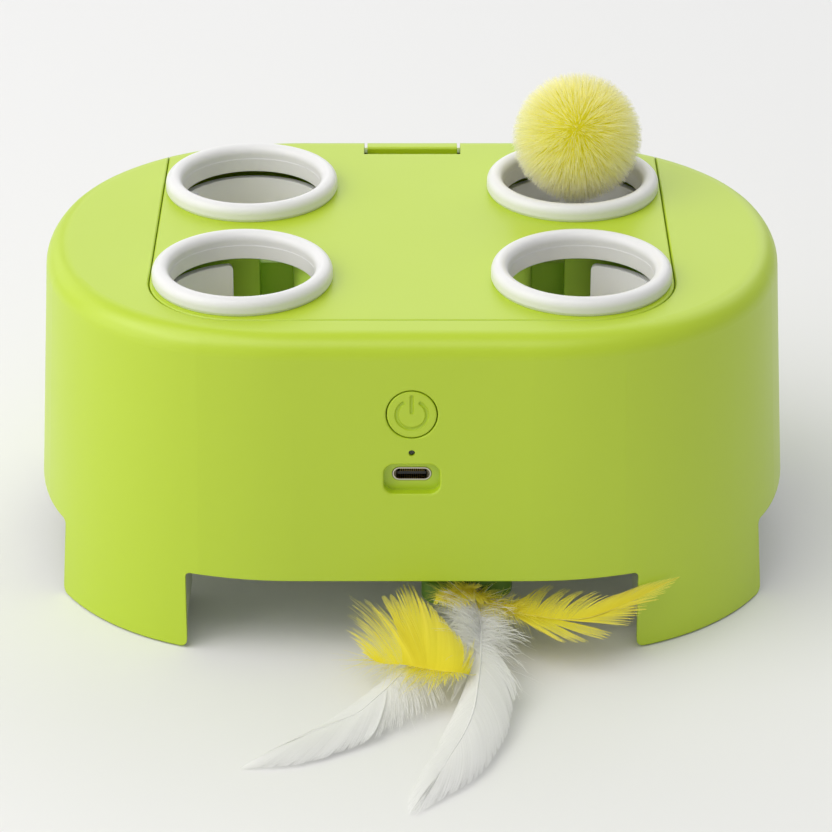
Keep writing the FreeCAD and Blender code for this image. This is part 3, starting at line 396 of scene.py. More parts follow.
@dataclass(frozen=True)
class DrawnMetal(Finish):
    """Drawn or turned metal with fine lines."""

    colour: Rgb
    roughness: float = 0.3
    lines: float = 900.0
    darkening: float = 0.8

    def wire(self, sheet: NodeSheet, surface: Node) -> None:
        """Wire tone and drawn lines.

        Args:
            sheet: the material's sheet.
            surface: its surface shader.
        """
        darker = tuple(c * self.darkening for c in self.colour)
        brush = SHELF.place(sheet, Effect.BRUSH, Scale=self.lines, Roughness=self.roughness)
        tone = SHELF.place(sheet, Effect.TONE, Colour=linear(self.colour), Other=linear(darker),
                           Scale=60.0, Amount=0.4)
        bump = sheet.add("ShaderNodeBump", Height=brush.outputs["Height"], Strength=0.05, Distance=0.1 * MM)
        sheet.fill(surface, Base_Color=tone.outputs[0], Roughness=brush.outputs["Roughness"],
                   Normal=bump.outputs[0], Metallic=1.0)


@dataclass(frozen=True)
class StrandFinish(Finish):
    """Hair or barbs: coloured from root to tip and lit from both sides."""

    root: Rgb
    body: Rgb
    tip: Rgb
    tint: Rgb
    tinting: float = 0.5
    through: float = 0.4
    roughness: float = 0.6

    def wire(self, sheet: NodeSheet, surface: Node) -> None:
        """Wire the colour along the strand and the light through it.

        Args:
            sheet: the material's sheet.
            surface: its surface shader.
        """
        colour = SHELF.place(
            sheet, Effect.STRAND, Root=linear(self.root), Body=linear(self.body), Tip=linear(self.tip),
            Tint=linear(self.tint), Tinting=self.tinting).outputs[0]
        sheet.fill(surface, Base_Color=colour, Roughness=self.roughness, Specular_IOR_Level=0.3)
        glow = sheet.add("ShaderNodeBsdfTranslucent", Color=colour)
        mix = sheet.add("ShaderNodeMixShader", Fac=self.through)
        sheet.feed(mix, 1, surface.outputs[0])
        sheet.feed(mix, 2, glow.outputs[0])
        sheet.feed(sheet.tree.nodes["Material Output"], "Surface", mix.outputs[0])


@dataclass(frozen=True)
class ClearPlastic(Finish):
    """Tinted clear plastic of the light pipe."""

    colour: Rgb

    def wire(self, sheet: NodeSheet, surface: Node) -> None:
        """Wire a see-through body.

        Args:
            sheet: the material's sheet.
            surface: its surface shader.
        """
        tone = SHELF.place(sheet, Effect.TONE, Colour=linear(self.colour), Other=WHITE,
                           Scale=200.0, Amount=0.3)
        sheet.fill(surface, Base_Color=tone.outputs[0], Roughness=0.2, Transmission_Weight=0.8,
                   Specular_IOR_Level=0.25)


@dataclass(frozen=True)
class Paper(Finish):
    """Matt backdrop paper."""

    colour: Rgb

    def wire(self, sheet: NodeSheet, surface: Node) -> None:
        """Wire an even sheet with a little grain.

        Args:
            sheet: the material's sheet.
            surface: its surface shader.
        """
        grain = SHELF.place(sheet, Effect.GRAIN, Scale=400.0, Roughness=0.85, Spread=0.05)
        sheet.fill(surface, Base_Color=linear(self.colour), Roughness=grain.outputs["Roughness"],
                   Specular_IOR_Level=0.2)


class Ribbons:
    """Many thin strips gathered into one mesh."""

    def __init__(self) -> None:
        """Start empty."""
        self.points: list[np.ndarray] = []
        self.faces: list[np.ndarray] = []
        self.along: list[np.ndarray] = []
        self.tint: list[np.ndarray] = []
        self.count = 0

    def strips(self, path: np.ndarray, across: np.ndarray, width: np.ndarray, tint: np.ndarray) -> None:
        """Add flat strips.

        Args:
            path: strips by steps by 3, the middle line of each.
            across: the same shape, the unit direction of each width.
            width: strips by steps, the full width.
            tint: one number for each strip.
        """
        strips, steps = width.shape
        half = across * width[..., None] / 2
        pair = np.stack([path - half, path + half], axis=2)
        first = np.arange(strips)[:, None] * steps * 2 + np.arange(steps - 1)[None, :] * 2
        quads = np.stack([first, first + 1, first + 3, first + 2], axis=-1)
        along = np.tile(np.repeat(np.linspace(0, 1, steps), 2), strips)
        self._keep(pair, quads, along, np.repeat(tint, steps * 2))

    def tube(self, path: np.ndarray, radius: np.ndarray, sides: int, along: float, tint: float) -> None:
        """Add a round tube.

        Args:
            path: steps by 3, the middle line.
            radius: the radius at each step.
            sides: corners of its section.
            along: the strand value to give it.
            tint: the tint value to give it.
        """
        forward = unit(np.gradient(path, axis=0))
        helper = UP if abs(forward[0, 2]) < 0.8 else np.array([1.0, 0.0, 0.0])
        side = unit(np.cross(forward, helper))
        rise = np.cross(side, forward)
        angle = np.linspace(0, 2 * math.pi, sides, endpoint=False)[None, :, None]
        ring = side[:, None, :] * np.cos(angle) + rise[:, None, :] * np.sin(angle)
        level = np.arange(len(path) - 1)[:, None] * sides
        start = level + np.arange(sides)
        turn = level + (np.arange(sides) + 1) % sides
        quads = np.stack([start, turn, turn + sides, start + sides], axis=-1)
        corners = len(path) * sides
        self._keep(path[:, None, :] + ring * radius[:, None, None], quads, np.full(corners, along),
                   np.full(corners, tint))

    def _keep(self, points: np.ndarray, quads: np.ndarray, along: np.ndarray, tint: np.ndarray) -> None:
        """Keep corners, the quads between them and a strand and tint value for each.

        Args:
            points: corners, in any number of rows.
            quads: four corner numbers for each face, counted from 0.
            along: how far along its strand each corner is, from 0 to 1.
            tint: each corner's tint value, from 0 to 1.
        """
        self.points.append(points.reshape(-1, 3))
        self.faces.append(quads.reshape(-1, 4) + self.count)
        self.along.append(along)
        self.tint.append(tint)
        self.count += len(along)

    def mesh(self, name: str) -> Mesh:
        """Turn what was gathered into a mesh.

        Args:
            name: the mesh's name.

        Returns:
            The mesh, with its strand values stored on it.
        """
        points = np.concatenate(self.points)
        faces = np.concatenate(self.faces)
        made = bpy.data.meshes.new(name)
        made.vertices.add(len(points))
        made.vertices.foreach_set("co", points.astype(np.float32).ravel())
        made.loops.add(faces.size)
        made.loops.foreach_set("vertex_index", faces.astype(np.int32).ravel())
        made.polygons.add(len(faces))
        made.polygons.foreach_set("loop_start", (np.arange(len(faces)) * 4).astype(np.int32))
        made.polygons.foreach_set("use_smooth", np.ones(len(faces), bool))
        for label, values in (("along", self.along), ("tint", self.tint)):
            layer = made.attributes.new(label, "FLOAT", "POINT")
            layer.data.foreach_set("value", np.concatenate(values).astype(np.float32))
        made.update(calc_edges=True)
        made.validate()
        return made


def unit(vectors: np.ndarray) -> np.ndarray:
    """Scale vectors to length 1.

    Args:
        vectors: any shape, with x, y and z along the last axis.

    Returns:
        The same shape.
    """
    return vectors / np.maximum(np.linalg.norm(vectors, axis=-1, keepdims=True), 1e-9)


def even_sphere(count: int) -> np.ndarray:
    """Spread directions evenly over a sphere.

    Args:
        count: how many.

    Returns:
        count by 3 unit vectors.
    """
    step = np.arange(count) + 0.5
    height = 1 - 2 * step / count
    turn = math.pi * (1 + math.sqrt(5)) * step
    flat = np.sqrt(1 - height**2)
    return np.stack([flat * np.cos(turn), flat * np.sin(turn), height], axis=-1)


def link(name: str, mesh: Mesh, material: Material) -> Object:
    """Put a mesh in the scene with its material.

    Args:
        name: the object's name.
        mesh: its mesh.
        material: its material.

    Returns:
        The object.
    """
    made = bpy.data.objects.new(name, mesh)
    if not mesh.materials:
        mesh.materials.append(material)
    bpy.context.scene.collection.objects.link(made)
    return made


@dataclass
class PomPom:
    """Fur ball of dense fibres combed away from a whorl."""

    fur: StrandFinish
    core_radius: float = 12.6 * MM
    root_radius: float = 11.2 * MM
    fur_radius: float = 16.2 * MM
    trim_mm: Span = (-0.6, 0.4)
    sag: Point = (0.9 * MM, 0.0, -0.3 * MM)
    strands: int = 18000
    scatter: float = 0.012
    lengths: Span = (0.85, 1.3)
    widths: Span = (0.7, 1.25)
    width: float = 0.14 * MM
    clumps: int = 1900
    clump_scatter: float = 0.05
    clump_lengths: Span = (0.93, 1.05)
    whorl: Point = (-0.03, -0.79, 0.61)
    comb: float = 0.9
    gather: float = 0.5
    stray: float = 0.06
    seed: int = 7

    FIBRE_STEPS = 5
    TINT, TINT_BY_CLUMP, TINT_BY_FIBRE = 0.25, 0.4, 0.6
    CORE_ROWS = 24
    CORE_SIDES = 40
    POLE_HOLE = 0.02

    def grow(self) -> Mesh:
        """Grow the ball once, about its own middle.

        Returns:
            The fur mesh.
        """
        draw = np.random.default_rng(self.seed)
        out = even_sphere(self.strands)
        out = unit(out + draw.normal(0, self.scatter, out.shape))
        centres = even_sphere(self.clumps)
        centres = unit(centres + draw.normal(0, self.clump_scatter, centres.shape))
        clump = np.argmax(out.astype(np.float32) @ centres.T.astype(np.float32), axis=1)
        facing = out @ unit(np.array(self.whorl))
        path = self.fibres(out, facing, centres[clump] - out, clump, draw)
        across = unit(np.cross(np.gradient(path, axis=1), unit(draw.normal(0, 1, out.shape))[:, None, :]))
        taper = 1 - np.linspace(0, 1, self.FIBRE_STEPS)**2.2 * 0.9
        width = self.width * draw.uniform(*self.widths, self.strands)[:, None] * taper[None, :]
        tint = self.TINT + self.TINT_BY_CLUMP * draw.uniform(0, 1, self.clumps)[clump]
        tint = tint + self.TINT_BY_FIBRE * draw.uniform(0, 1, self.strands)**2
        tint = np.clip(tint * np.clip(1.1 * (1 - facing), 0.1, 1), 0, 1)
        ribbons = Ribbons()
        ribbons.strips(path, across, width, tint)
        self.core(ribbons)
        return ribbons.mesh("pom_fur")

    def fibres(self, out: np.ndarray, facing: np.ndarray, pull: np.ndarray, clump: np.ndarray,
               draw: np.random.Generator) -> np.ndarray:
        """Lead each fibre out, away from the whorl and towards its clump.

        Args:
            out: the direction of each root.
            facing: how squarely it looks along the whorl.
            pull: the way to its clump's middle.
            clump: its clump's number.
            draw: the random source.

        Returns:
            Fibres by steps by 3.
        """
        away = unit(out * facing[:, None] - unit(np.array(self.whorl)))
        lean = np.clip(1 - facing**2, 0, 1)[:, None]**0.35
        length = (self.fur_radius - self.root_radius) * draw.uniform(*self.lengths, self.strands)
        length *= draw.uniform(*self.clump_lengths, self.clumps)[clump]
        length = length[:, None]
        stray = draw.normal(0, self.stray, out.shape)
        base = out * self.root_radius
        bend = away * lean * self.comb
        meet = pull * self.gather * self.fur_radius
        path = [base + length * (out * t * (1 - 0.15 * t) + bend * t**1.3 + stray * t**1.8) + meet * t**2.2
                for t in np.linspace(0, 1, self.FIBRE_STEPS)]
        path = np.stack(path, axis=1)
        reach = np.linalg.norm(path, axis=2, keepdims=True)
        limit = self.fur_radius + draw.uniform(*self.trim_mm, (self.strands, 1, 1)) * MM
        return np.where(reach > limit, path * (limit / reach), path)

    def core(self, ribbons: Ribbons) -> None:
        """Add the ball that the fibres stand on.

        Args:
            ribbons: the mesh to add it to.
        """
        polar = np.linspace(self.POLE_HOLE, math.pi - self.POLE_HOLE, self.CORE_ROWS)
        axis = -np.cos(polar)[:, None] * UP * self.core_radius
        ribbons.tube(axis, np.sin(polar) * self.core_radius, self.CORE_SIDES, along=0.0, tint=0.4)

    def build(self) -> None:
        """Put the ball on each carriage in place of its plain solid."""
        mesh = self.grow()
        material = self.fur.build()
        for turn, station in enumerate(STATIONS):
            low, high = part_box("pompom_" + station)
            ball = link("fur_" + station, mesh, material)
            sag = Vector(self.sag) if turn == 0 else Vector((0, 0, 0))
            ball.location = (low + high) / 2 + sag
            ball.rotation_euler = (0.0, 0.0, turn * math.pi / 2)
            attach(ball, "popper_" + station)
            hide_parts("pompom_" + station)
            LOG.info("fur ball %s with %d fibres", station, self.strands)


def smooth(knots: tuple[Point, ...], count: int) -> np.ndarray:
    """Points along a smooth line through knots.

    Args:
        knots: the places it passes, in millimetres.
        count: how many points, evenly spaced.

    Returns:
        count by 3 points in metres.
    """
    places = np.array(knots, float) * MM
    gaps = np.linalg.norm(np.diff(places, axis=0), axis=1)
    at = np.concatenate([[0], np.cumsum(gaps)])
    slope = np.gradient(places, at, axis=0)
    where = np.linspace(0, at[-1], count)
    index = np.clip(np.searchsorted(at, where, side="right") - 1, 0, len(gaps) - 1)
    t = ((where - at[index]) / gaps[index])[:, None]
    span = gaps[index][:, None]
    return ((2 * t**3 - 3 * t**2 + 1) * places[index] + (t**3 - 2 * t**2 + t) * span * slope[index]
            + (3 * t**2 - 2 * t**3) * places[index + 1] + (t**3 - t**2) * span * slope[index + 1])


def along_line(line: np.ndarray, share: np.ndarray) -> np.ndarray:
    """Places on a line at shares of its length.

    Args:
        line: points by 3.
        share: numbers from 0 to 1 of any shape.

    Returns:
        The places, with one more axis of 3.
    """
    at = np.linspace(0, 1, len(line))
    return np.stack([np.interp(share, at, line[:, axis]) for axis in range(3)], axis=-1)


@dataclass(frozen=True)
class Gap:
    """A split between barbs that opens outwards."""

    place: float
    depth: float
    gape: float = 0.02

    FADE = 1.4


@dataclass(frozen=True)
class Vane:
    """A run of barbs: where they leave the quill and where they end."""

    edge: tuple[Point, ...]
    roots: Span = (0.3, 0.99)
    gaps: tuple[Gap, ...] = ()
    pitch: float = 0.14
    cover: float = 1.6
    locks: float = 1.4
    pinch: float = 0.45
    depth: float = 0.22
    sweep: float = 0.25
    bulge: float = 0.05
    loose: float = 0.0
    fray: float = 0.02


@dataclass(frozen=True)
class Fluff:
    """Free downy barbs along a stretch of the quill."""

    count: int
    roots: Span
    length: float
    lean: Span
    side: float = 0.0
    rise: float = 0.3
    curl: float = 0.35
    width: float = 0.08


class Locks:
    """How a vane's barbs close up into small locks of uneven breadth."""

    SCATTER = 0.2
    BREADTHS = (0.35, 1.65)
    DEPTHS = (0.3, 1.5)
    POINTING = 0.22
    TIP_FADE = 9
    CLOSING = 1.6

    def __init__(self, vane: Vane, size: float, draw: np.random.Generator) -> None:
        """Share the barbs out over the locks.

        Args:
            vane: the run of barbs.
            size: the length of its edge in millimetres.
            draw: the random source.
        """
        count = int(size / vane.pitch)
        share = np.linspace(0, 1, count) + draw.normal(0, self.SCATTER / count, count)
        share = np.sort(np.clip(share, 0, 1))
        parts = draw.uniform(*self.BREADTHS, int(size / vane.locks) + 1)
        bounds = np.concatenate([[0], np.cumsum(parts) / parts.sum()])
        lock = np.clip(np.searchsorted(bounds, share, side="right") - 1, 0, len(parts) - 1)
        middle = (bounds[lock] + bounds[lock + 1]) / 2
        self.vane, self.share, self.lock, self.count = vane, share, lock, len(parts)
        self.inward = middle - share
        self.beside = (share - middle) / (bounds[lock + 1] - bounds[lock]) * 2
        self.depth = (draw.uniform(*self.DEPTHS, len(parts)) * vane.depth)[lock]

    def reach(self, draw: np.random.Generator) -> np.ndarray:
        """Say how far out each barb goes, so that locks end in points.

        Args:
            draw: the random source.

        Returns:
            Shares of the full breadth.
        """
        fray = self.vane.fray
        pointing = self.depth * self.POINTING * self.beside**2
        reach = 1 - np.abs(draw.normal(0, fray, len(self.share))) - pointing
        reach -= np.abs(draw.normal(0, fray, self.count))[self.lock]
        return 1 - (1 - reach) * np.minimum(1, (1 - self.share) * self.TIP_FADE)

    def shift(self, steps: np.ndarray) -> np.ndarray:
        """Say how far barbs slide along the vane, into their lock and away from gaps.

        Args:
            steps: shares of the way from root to tip.

        Returns:
            Barbs by steps, as shares of the vane's length.
        """
        depth = self.depth[:, None]
        closing = np.clip((steps[None, :] - 1 + depth) / depth, 0, 1)**self.CLOSING
        shift = self.inward[:, None] * self.vane.pinch * closing
        for gap in self.vane.gaps:
            apart = self.share - gap.place
            push = np.sign(apart) * gap.gape * np.exp(-np.abs(apart) / (gap.gape * gap.FADE))
            shift += push[:, None] * np.clip((steps[None, :] - 1 + gap.depth) / gap.depth, 0, 1)
        return shift


class Plume(Ribbons):
    """The strips of one feather, set along its quill."""

    SPINE_POINTS = 400
    EDGE_POINTS = 800
    QUILL_SIDES = 8
    QUILL_TIP = 0.2
    BARB_STEPS = 10
    DOWN_STEPS = 8
    LEAST_SWAY = 0.06
    LEAST_WIDTH = 0.07 * MM
    BARB_CLEARANCE = 0.15 * MM
    DOWN_CLEARANCE = 0.2 * MM
    BARB_TAPER = 0.7
    DOWN_TAPER = 0.75
    DOWN_LENGTHS = (0.45, 1.15)
    DOWN_TINTS = (0, 0.6)
    DOWN_RISE = 0.3
    DOWN_AHEAD, DOWN_SAG = 1.5, 0.6
    TILT = 0.06
    TINT, TINT_BY_LOCK, TINT_BY_BARB = 0.45, 0.11, 0.08

    def __init__(self, spine: tuple[Point, ...], quill: float, seed: int) -> None:
        """Lay the quill.

        Args:
            spine: the knots of its middle line.
            quill: its radius at the root in millimetres.
            seed: the seed of the random draws.
        """
        super().__init__()
        self.draw = np.random.default_rng(seed)
        self.line = smooth(spine, self.SPINE_POINTS)
        taper = np.linspace(1, self.QUILL_TIP, self.SPINE_POINTS) * quill * MM
        self.tube(self.line, taper, self.QUILL_SIDES, along=0.9, tint=0.0)

    def surface(self, edge: np.ndarray, vane: Vane, share: np.ndarray, out: np.ndarray) -> np.ndarray:
        """Places on the vane's curved sheet.

        Args:
            edge: points along the vane's edge.
            vane: the run of barbs.
            share: how far along the vane, barbs by steps.
            out: how far out from the quill, barbs by steps.

        Returns:
            Barbs by steps by 3.
        """
        low, high = vane.roots
        at = low + (high - low) * share
        root = along_line(self.line, at)
        ahead = unit(along_line(np.gradient(self.line, axis=0), at))
        tip = along_line(edge, share)
        span = np.linalg.norm(tip - root, axis=-1, keepdims=True)
        way = unit(tip - root)
        bow = root + span * 0.5 * unit(way - ahead * vane.sweep)
        rise = unit(np.cross(ahead, way))
        rise *= np.sign(rise[..., 2:3] + 1e-6)
        t = out[..., None]
        return root * (1 - t)**2 + 2 * bow * t * (1 - t) + tip * t**2 + rise * vane.bulge * span * t * (1 - t)

    def web(self, vane: Vane) -> None:
        """Set one run of barbs.

        Args:
            vane: the run of barbs.
        """
        draw = self.draw
        edge = smooth(vane.edge, self.EDGE_POINTS)
        size = np.linalg.norm(np.diff(edge, axis=0), axis=1).sum() / MM
        locks = Locks(vane, size, draw)
        share = locks.share[:, None]
        count = len(share)
        steps = np.linspace(0, 1, self.BARB_STEPS)
        out = steps[None, :] * locks.reach(draw)[:, None]
        path = self.surface(edge, vane, np.clip(share + locks.shift(steps), 0, 1), out)
        sway = unit(draw.normal(0, 1, (count, 3)))[:, None, :]
        amount = (self.LEAST_SWAY + vane.loose) * MM * draw.uniform(0, 1, (count, 1, 1))
        path += sway * amount * (steps**2)[None, :, None]
        path[..., 2] = np.maximum(path[..., 2], self.BARB_CLEARANCE)
        heading = unit(np.gradient(path, axis=1))
        beside = np.gradient(self.surface(edge, vane, np.tile(share, (1, self.BARB_STEPS)), out), axis=0)
        beside -= heading * (beside * heading).sum(axis=-1, keepdims=True)
        spread = np.median(np.linalg.norm(beside, axis=-1), axis=0)
        flat = unit(beside)
        tilt = draw.normal(0, self.TILT, (count, 1, 1))
        across = flat * np.cos(tilt) + np.cross(flat, heading) * np.sin(tilt)
        width = np.maximum(spread * vane.cover, self.LEAST_WIDTH) * (1 - self.BARB_TAPER * steps**4)
        tint = self.TINT + draw.normal(0, self.TINT_BY_LOCK, locks.count)[locks.lock]
        tint = np.clip(tint + draw.normal(0, self.TINT_BY_BARB, count), 0, 1)
        self.strips(path, across, np.tile(width, (count, 1)), tint)

    def down(self, fluff: Fluff) -> None:
        """Set free downy barbs.

        Args:
            fluff: where and how long they are.
        """
        draw, count = self.draw, fluff.count
        share = draw.uniform(*fluff.roots, count)
        root = along_line(self.line, share)
        ahead = unit(along_line(np.gradient(self.line, axis=0), share))
        side = draw.choice([-1.0, 1.0], count) if fluff.side == 0 else np.full(count, fluff.side)
        out = unit(np.cross(UP, ahead)) * side[:, None]
        lean = np.radians(draw.uniform(*fluff.lean, count))[:, None]
        rise = draw.normal(fluff.rise * self.DOWN_RISE, fluff.rise, (count, 1))
        way = unit(out * np.sin(lean) + ahead * np.cos(lean) + UP * rise)
        curl = draw.normal(0, 1, (count, 3)) + ahead * self.DOWN_AHEAD - UP * self.DOWN_SAG
        length = fluff.length * MM * draw.uniform(*self.DOWN_LENGTHS, count)[:, None]
        steps = np.linspace(0, 1, self.DOWN_STEPS)
        curl = unit(curl) * fluff.curl
        path = np.stack([root + length * (way * t + curl * t**2) for t in steps], axis=1)
        path[..., 2] = np.maximum(path[..., 2], self.DOWN_CLEARANCE)
        across = unit(np.cross(np.gradient(path, axis=1), draw.normal(0, 1, (count, 1, 3))))
        width = fluff.width * MM * (1 - self.DOWN_TAPER * steps)
        self.strips(path, across, np.tile(width, (count, 1)), draw.uniform(*self.DOWN_TINTS, count))


@dataclass
class Feather:
    """One feather: a quill with runs of barbs beside it and down at its root."""

    node: str
    coat: str
    spine: tuple[Point, ...]
    vanes: tuple[Vane, ...]
    fluff: tuple[Fluff, ...]
    quill: float
    seed: int

    def build(self, material: Material) -> None:
        """Make the feather in place of its plain solid.

        Args:
            material: the finish of its barbs.
        """
        plume = Plume(self.spine, self.quill, self.seed)
        for vane in self.vanes:
            plume.web(vane)
        for fluff in self.fluff:
            plume.down(fluff)
        made = link(self.node + "_barbs", plume.mesh(self.node), material)
        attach(made, "rotor")
        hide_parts(self.node)
        size = np.linalg.norm(np.diff(plume.line, axis=0), axis=1).sum()
        LOG.info("%s, %.0f mm long", self.node, size / MM)


def white_left() -> Feather:
    """Describe the long white feather on the left.

    Returns:
        The feather.
    """
    upper = Vane(
        ((-4.4, -83, 6.6), (-7.4, -86.4, 5.8), (-11.9, -91, 4.4), (-17.3, -96.1, 3), (-22.7, -100.9, 2),
         (-27.1, -104.3, 1.6), (-32.4, -108.9, 1.2), (-38.5, -114.7, 0.8)),
        roots=(0.36, 0.82), locks=3.0, depth=0.05, pinch=0.2)
    tuft = Vane(
        ((8.3, -94.2, 4), (1.4, -97.6, 3), (-2.2, -100.5, 2.5), (-5.4, -102.3, 2), (-8.6, -104, 1.4)),
        roots=(0.3, 0.47), cover=0.9, locks=0.9, pinch=0.7, depth=0.4, loose=0.5, fray=0.06, bulge=0.0)
    lower = Vane(
        ((-9, -104.4, 2.2), (-11.2, -106.4, 1.4), (-17.9, -110.4, 1), (-22.4, -112.7, 0.9),
         (-27.7, -114.6, 0.8), (-33.1, -115.2, 0.7), (-38.5, -115, 0.7)),
        roots=(0.455, 0.8), locks=4.0, depth=0.04, pinch=0.2, bulge=0.09, sweep=0.3)
    return Feather(
        "feather_white_left", "feather_white",
        spine=((14.3, -59.8, 12), (10.2, -66.5, 10.6), (4.4, -74.4, 8.8), (-1.3, -81.9, 7), (-4.6, -87, 6),
               (-8.6, -92.4, 5), (-11.8, -96, 4), (-18.1, -100.2, 3.2), (-25.7, -105, 2.2),
               (-32.4, -109.8, 1.4), (-38.5, -114.9, 0.8)),
        vanes=(upper, tuft, lower),
        fluff=(Fluff(130, (0.22, 0.44), 12, (30, 75), side=1.0, rise=0.12),
               Fluff(60, (0.2, 0.42), 7, (40, 90), side=-1.0)),
        quill=0.26, seed=11)


def white_front() -> Feather:
    """Describe the broad white feather in front.

    Returns:
        The feather.
    """
    right = Vane(
        ((24.4, -89.6, 4.6), (22.9, -96.9, 3.2), (22.1, -101.9, 2.6), (18.5, -112.5, 1.8),
         (13.9, -121, 1.2), (7.2, -127.9, 0.9), (0.5, -134.2, 0.7)),
        roots=(0.17, 0.78),
        gaps=(Gap(0.04, 0.6, 0.008), Gap(0.1, 0.5, 0.01), Gap(0.2, 0.45, 0.008), Gap(0.3, 0.2, 0.006)),
        locks=3.0, depth=0.07, pinch=0.3, sweep=0.45, bulge=0.08)
    left = Vane(
        ((13, -84.8, 5.4), (10.6, -92.3, 3.6), (7.3, -102.4, 2.4), (4.6, -110.5, 1.6), (1, -121.1, 1),
         (-1, -128.8, 0.7), (-0.6, -133.9, 0.7)),
        roots=(0.2, 0.8), locks=3.0, depth=0.05, pinch=0.2, sweep=0.25, bulge=0.08)
    right_fan = Vane(
        ((24.5, -68, 12.5), (30.5, -75.2, 12), (30, -77.4, 11), (32.4, -81.7, 9), (30, -83.5, 7.5),
         (28.4, -85.6, 6.5), (26.5, -87.9, 5.5), (24.4, -90.2, 4.5)),
        roots=(0.02, 0.27), pitch=0.55, cover=0.3, locks=1.8, pinch=0.7, depth=0.8, sweep=0.7, loose=2.6,
        fray=0.22)
    left_fan = Vane(
        ((7.4, -63.6, 17.6), (3.4, -67.5, 18.6), (2.4, -71, 18.2), (3.7, -73.4, 17.2), (6.1, -75.6, 15.6),
         (8.4, -76.6, 13.6), (11.8, -77.6, 11.2)),
        roots=(0.04, 0.25), pitch=0.2, cover=0.75, locks=1.5, pinch=0.8, depth=0.55, sweep=0.5, bulge=0.12,
        loose=1.2, fray=0.12)
    wisps = Vane(
        ((6.2, -84.6, 7), (6.9, -87.6, 6), (7.6, -91.9, 5), (9.6, -94.6, 4)),
        roots=(0.16, 0.24), pitch=0.3, cover=0.6, locks=1.9, pinch=0.9, depth=0.7, sweep=0.3, loose=0.3,
        fray=0.1)
    return Feather(
        "feather_white_front", "feather_white",
        spine=((15.3, -59.8, 12.6), (16, -64.9, 10.8), (16.1, -76.3, 8.8), (15.2, -88.7, 6.8),
               (13.7, -99.8, 5.2), (11.8, -105.9, 4.2), (8.6, -113.5, 3.1), (4.5, -124, 1.9),
               (-0.3, -133.7, 0.8)),
        vanes=(right, left, right_fan, left_fan, wisps),
        fluff=(Fluff(900, (0.0, 0.2), 8, (35, 115), rise=0.35, width=0.12),
               Fluff(560, (0.02, 0.2), 10, (40, 110), side=-1.0, rise=0.6, width=0.13),
               Fluff(420, (0.0, 0.14), 6, (30, 100), side=-1.0, rise=0.9, width=0.14),
               Fluff(60, (0.05, 0.3), 12, (40, 80), side=1.0, rise=0.15)),
        quill=0.33, seed=12)


def yellow_left() -> Feather:
    """Describe the yellow fan on the left, whose quill runs beneath it.

    Returns:
        The feather.
    """
    right_lobe = Vane(
        ((13.9, -84.5, 10), (14.6, -81.5, 11), (13.5, -79, 11.6), (15.2, -76.3, 12), (10.5, -75.2, 12.4),
         (8.2, -72.5, 13.4)),
        roots=(0.53, 0.63), pitch=0.22, cover=0.75, locks=2.4, pinch=0.6, depth=0.5, loose=0.5, fray=0.12)
    middle = Vane(
        ((11.4, -76.2, 12), (8.6, -73, 13.2), (7.2, -70.5, 14), (3.8, -65.6, 15.5), (1.2, -63.2, 16.3),
         (-0.9, -58.7, 17), (-2.3, -59.7, 17), (-4.7, -62.3, 16.6), (-7.4, -64.9, 16.1)),
        roots=(0.58, 0.83),
        gaps=(Gap(0.48, 0.3, 0.018), Gap(0.58, 0.3, 0.018), Gap(0.7, 0.4, 0.018), Gap(0.84, 0.3, 0.014)),
        pitch=0.11, cover=2.4, locks=1.6, pinch=0.5, depth=0.16, bulge=0.1, loose=0.1, fray=0.03)
    left_lobe = Vane(
        ((-4.4, -62.6, 16.2), (-7.4, -65, 15.9), (-10.3, -66, 15.8), (-12.9, -62.7, 16), (-15, -62.5, 15.6),
         (-16.2, -65.3, 14.6), (-15.8, -69, 13.4), (-16.1, -73.1, 12), (-14.2, -75.6, 11.2),
         (-12.3, -78.6, 10.4), (-10.6, -80.6, 9.9)),
        roots=(0.72, 0.97),
        gaps=(Gap(0.36, 0.45), Gap(0.5, 0.45), Gap(0.62, 0.45), Gap(0.74, 0.4), Gap(0.86, 0.4)),
        pitch=0.2, cover=1.1, locks=1.1, pinch=0.85, depth=0.5, bulge=0.1, loose=0.5, fray=0.12)
    beneath = Vane(
        ((12.5, -89.6, 8), (6, -92.5, 6.6), (1.5, -93.5, 6), (-1, -91.5, 6.4), (-3, -87.5, 7.6)),
        roots=(0.57, 0.78), pitch=0.45, cover=0.55, loose=1.6, depth=0.6, pinch=0.8, fray=0.25)
    return Feather(
        "feather_yellow_left", "feather_yellow",
        spine=((15.4, -60, 13), (16.3, -68, 9.4), (16.2, -78, 6.6), (14.4, -85.4, 7.2), (11.5, -87.5, 9),
               (5.3, -86.2, 9), (-1.6, -83.9, 9), (-8.5, -82.6, 9.3), (-10.4, -80.8, 9.8)),
        vanes=(right_lobe, middle, left_lobe, beneath),
        fluff=(Fluff(170, (0.6, 0.8), 8, (40, 110), side=1.0, rise=0.15),
               Fluff(130, (0.84, 1.0), 8, (20, 110), rise=0.2), Fluff(170, (0.0, 0.14), 5, (20, 120))),
        quill=0.13, seed=13)


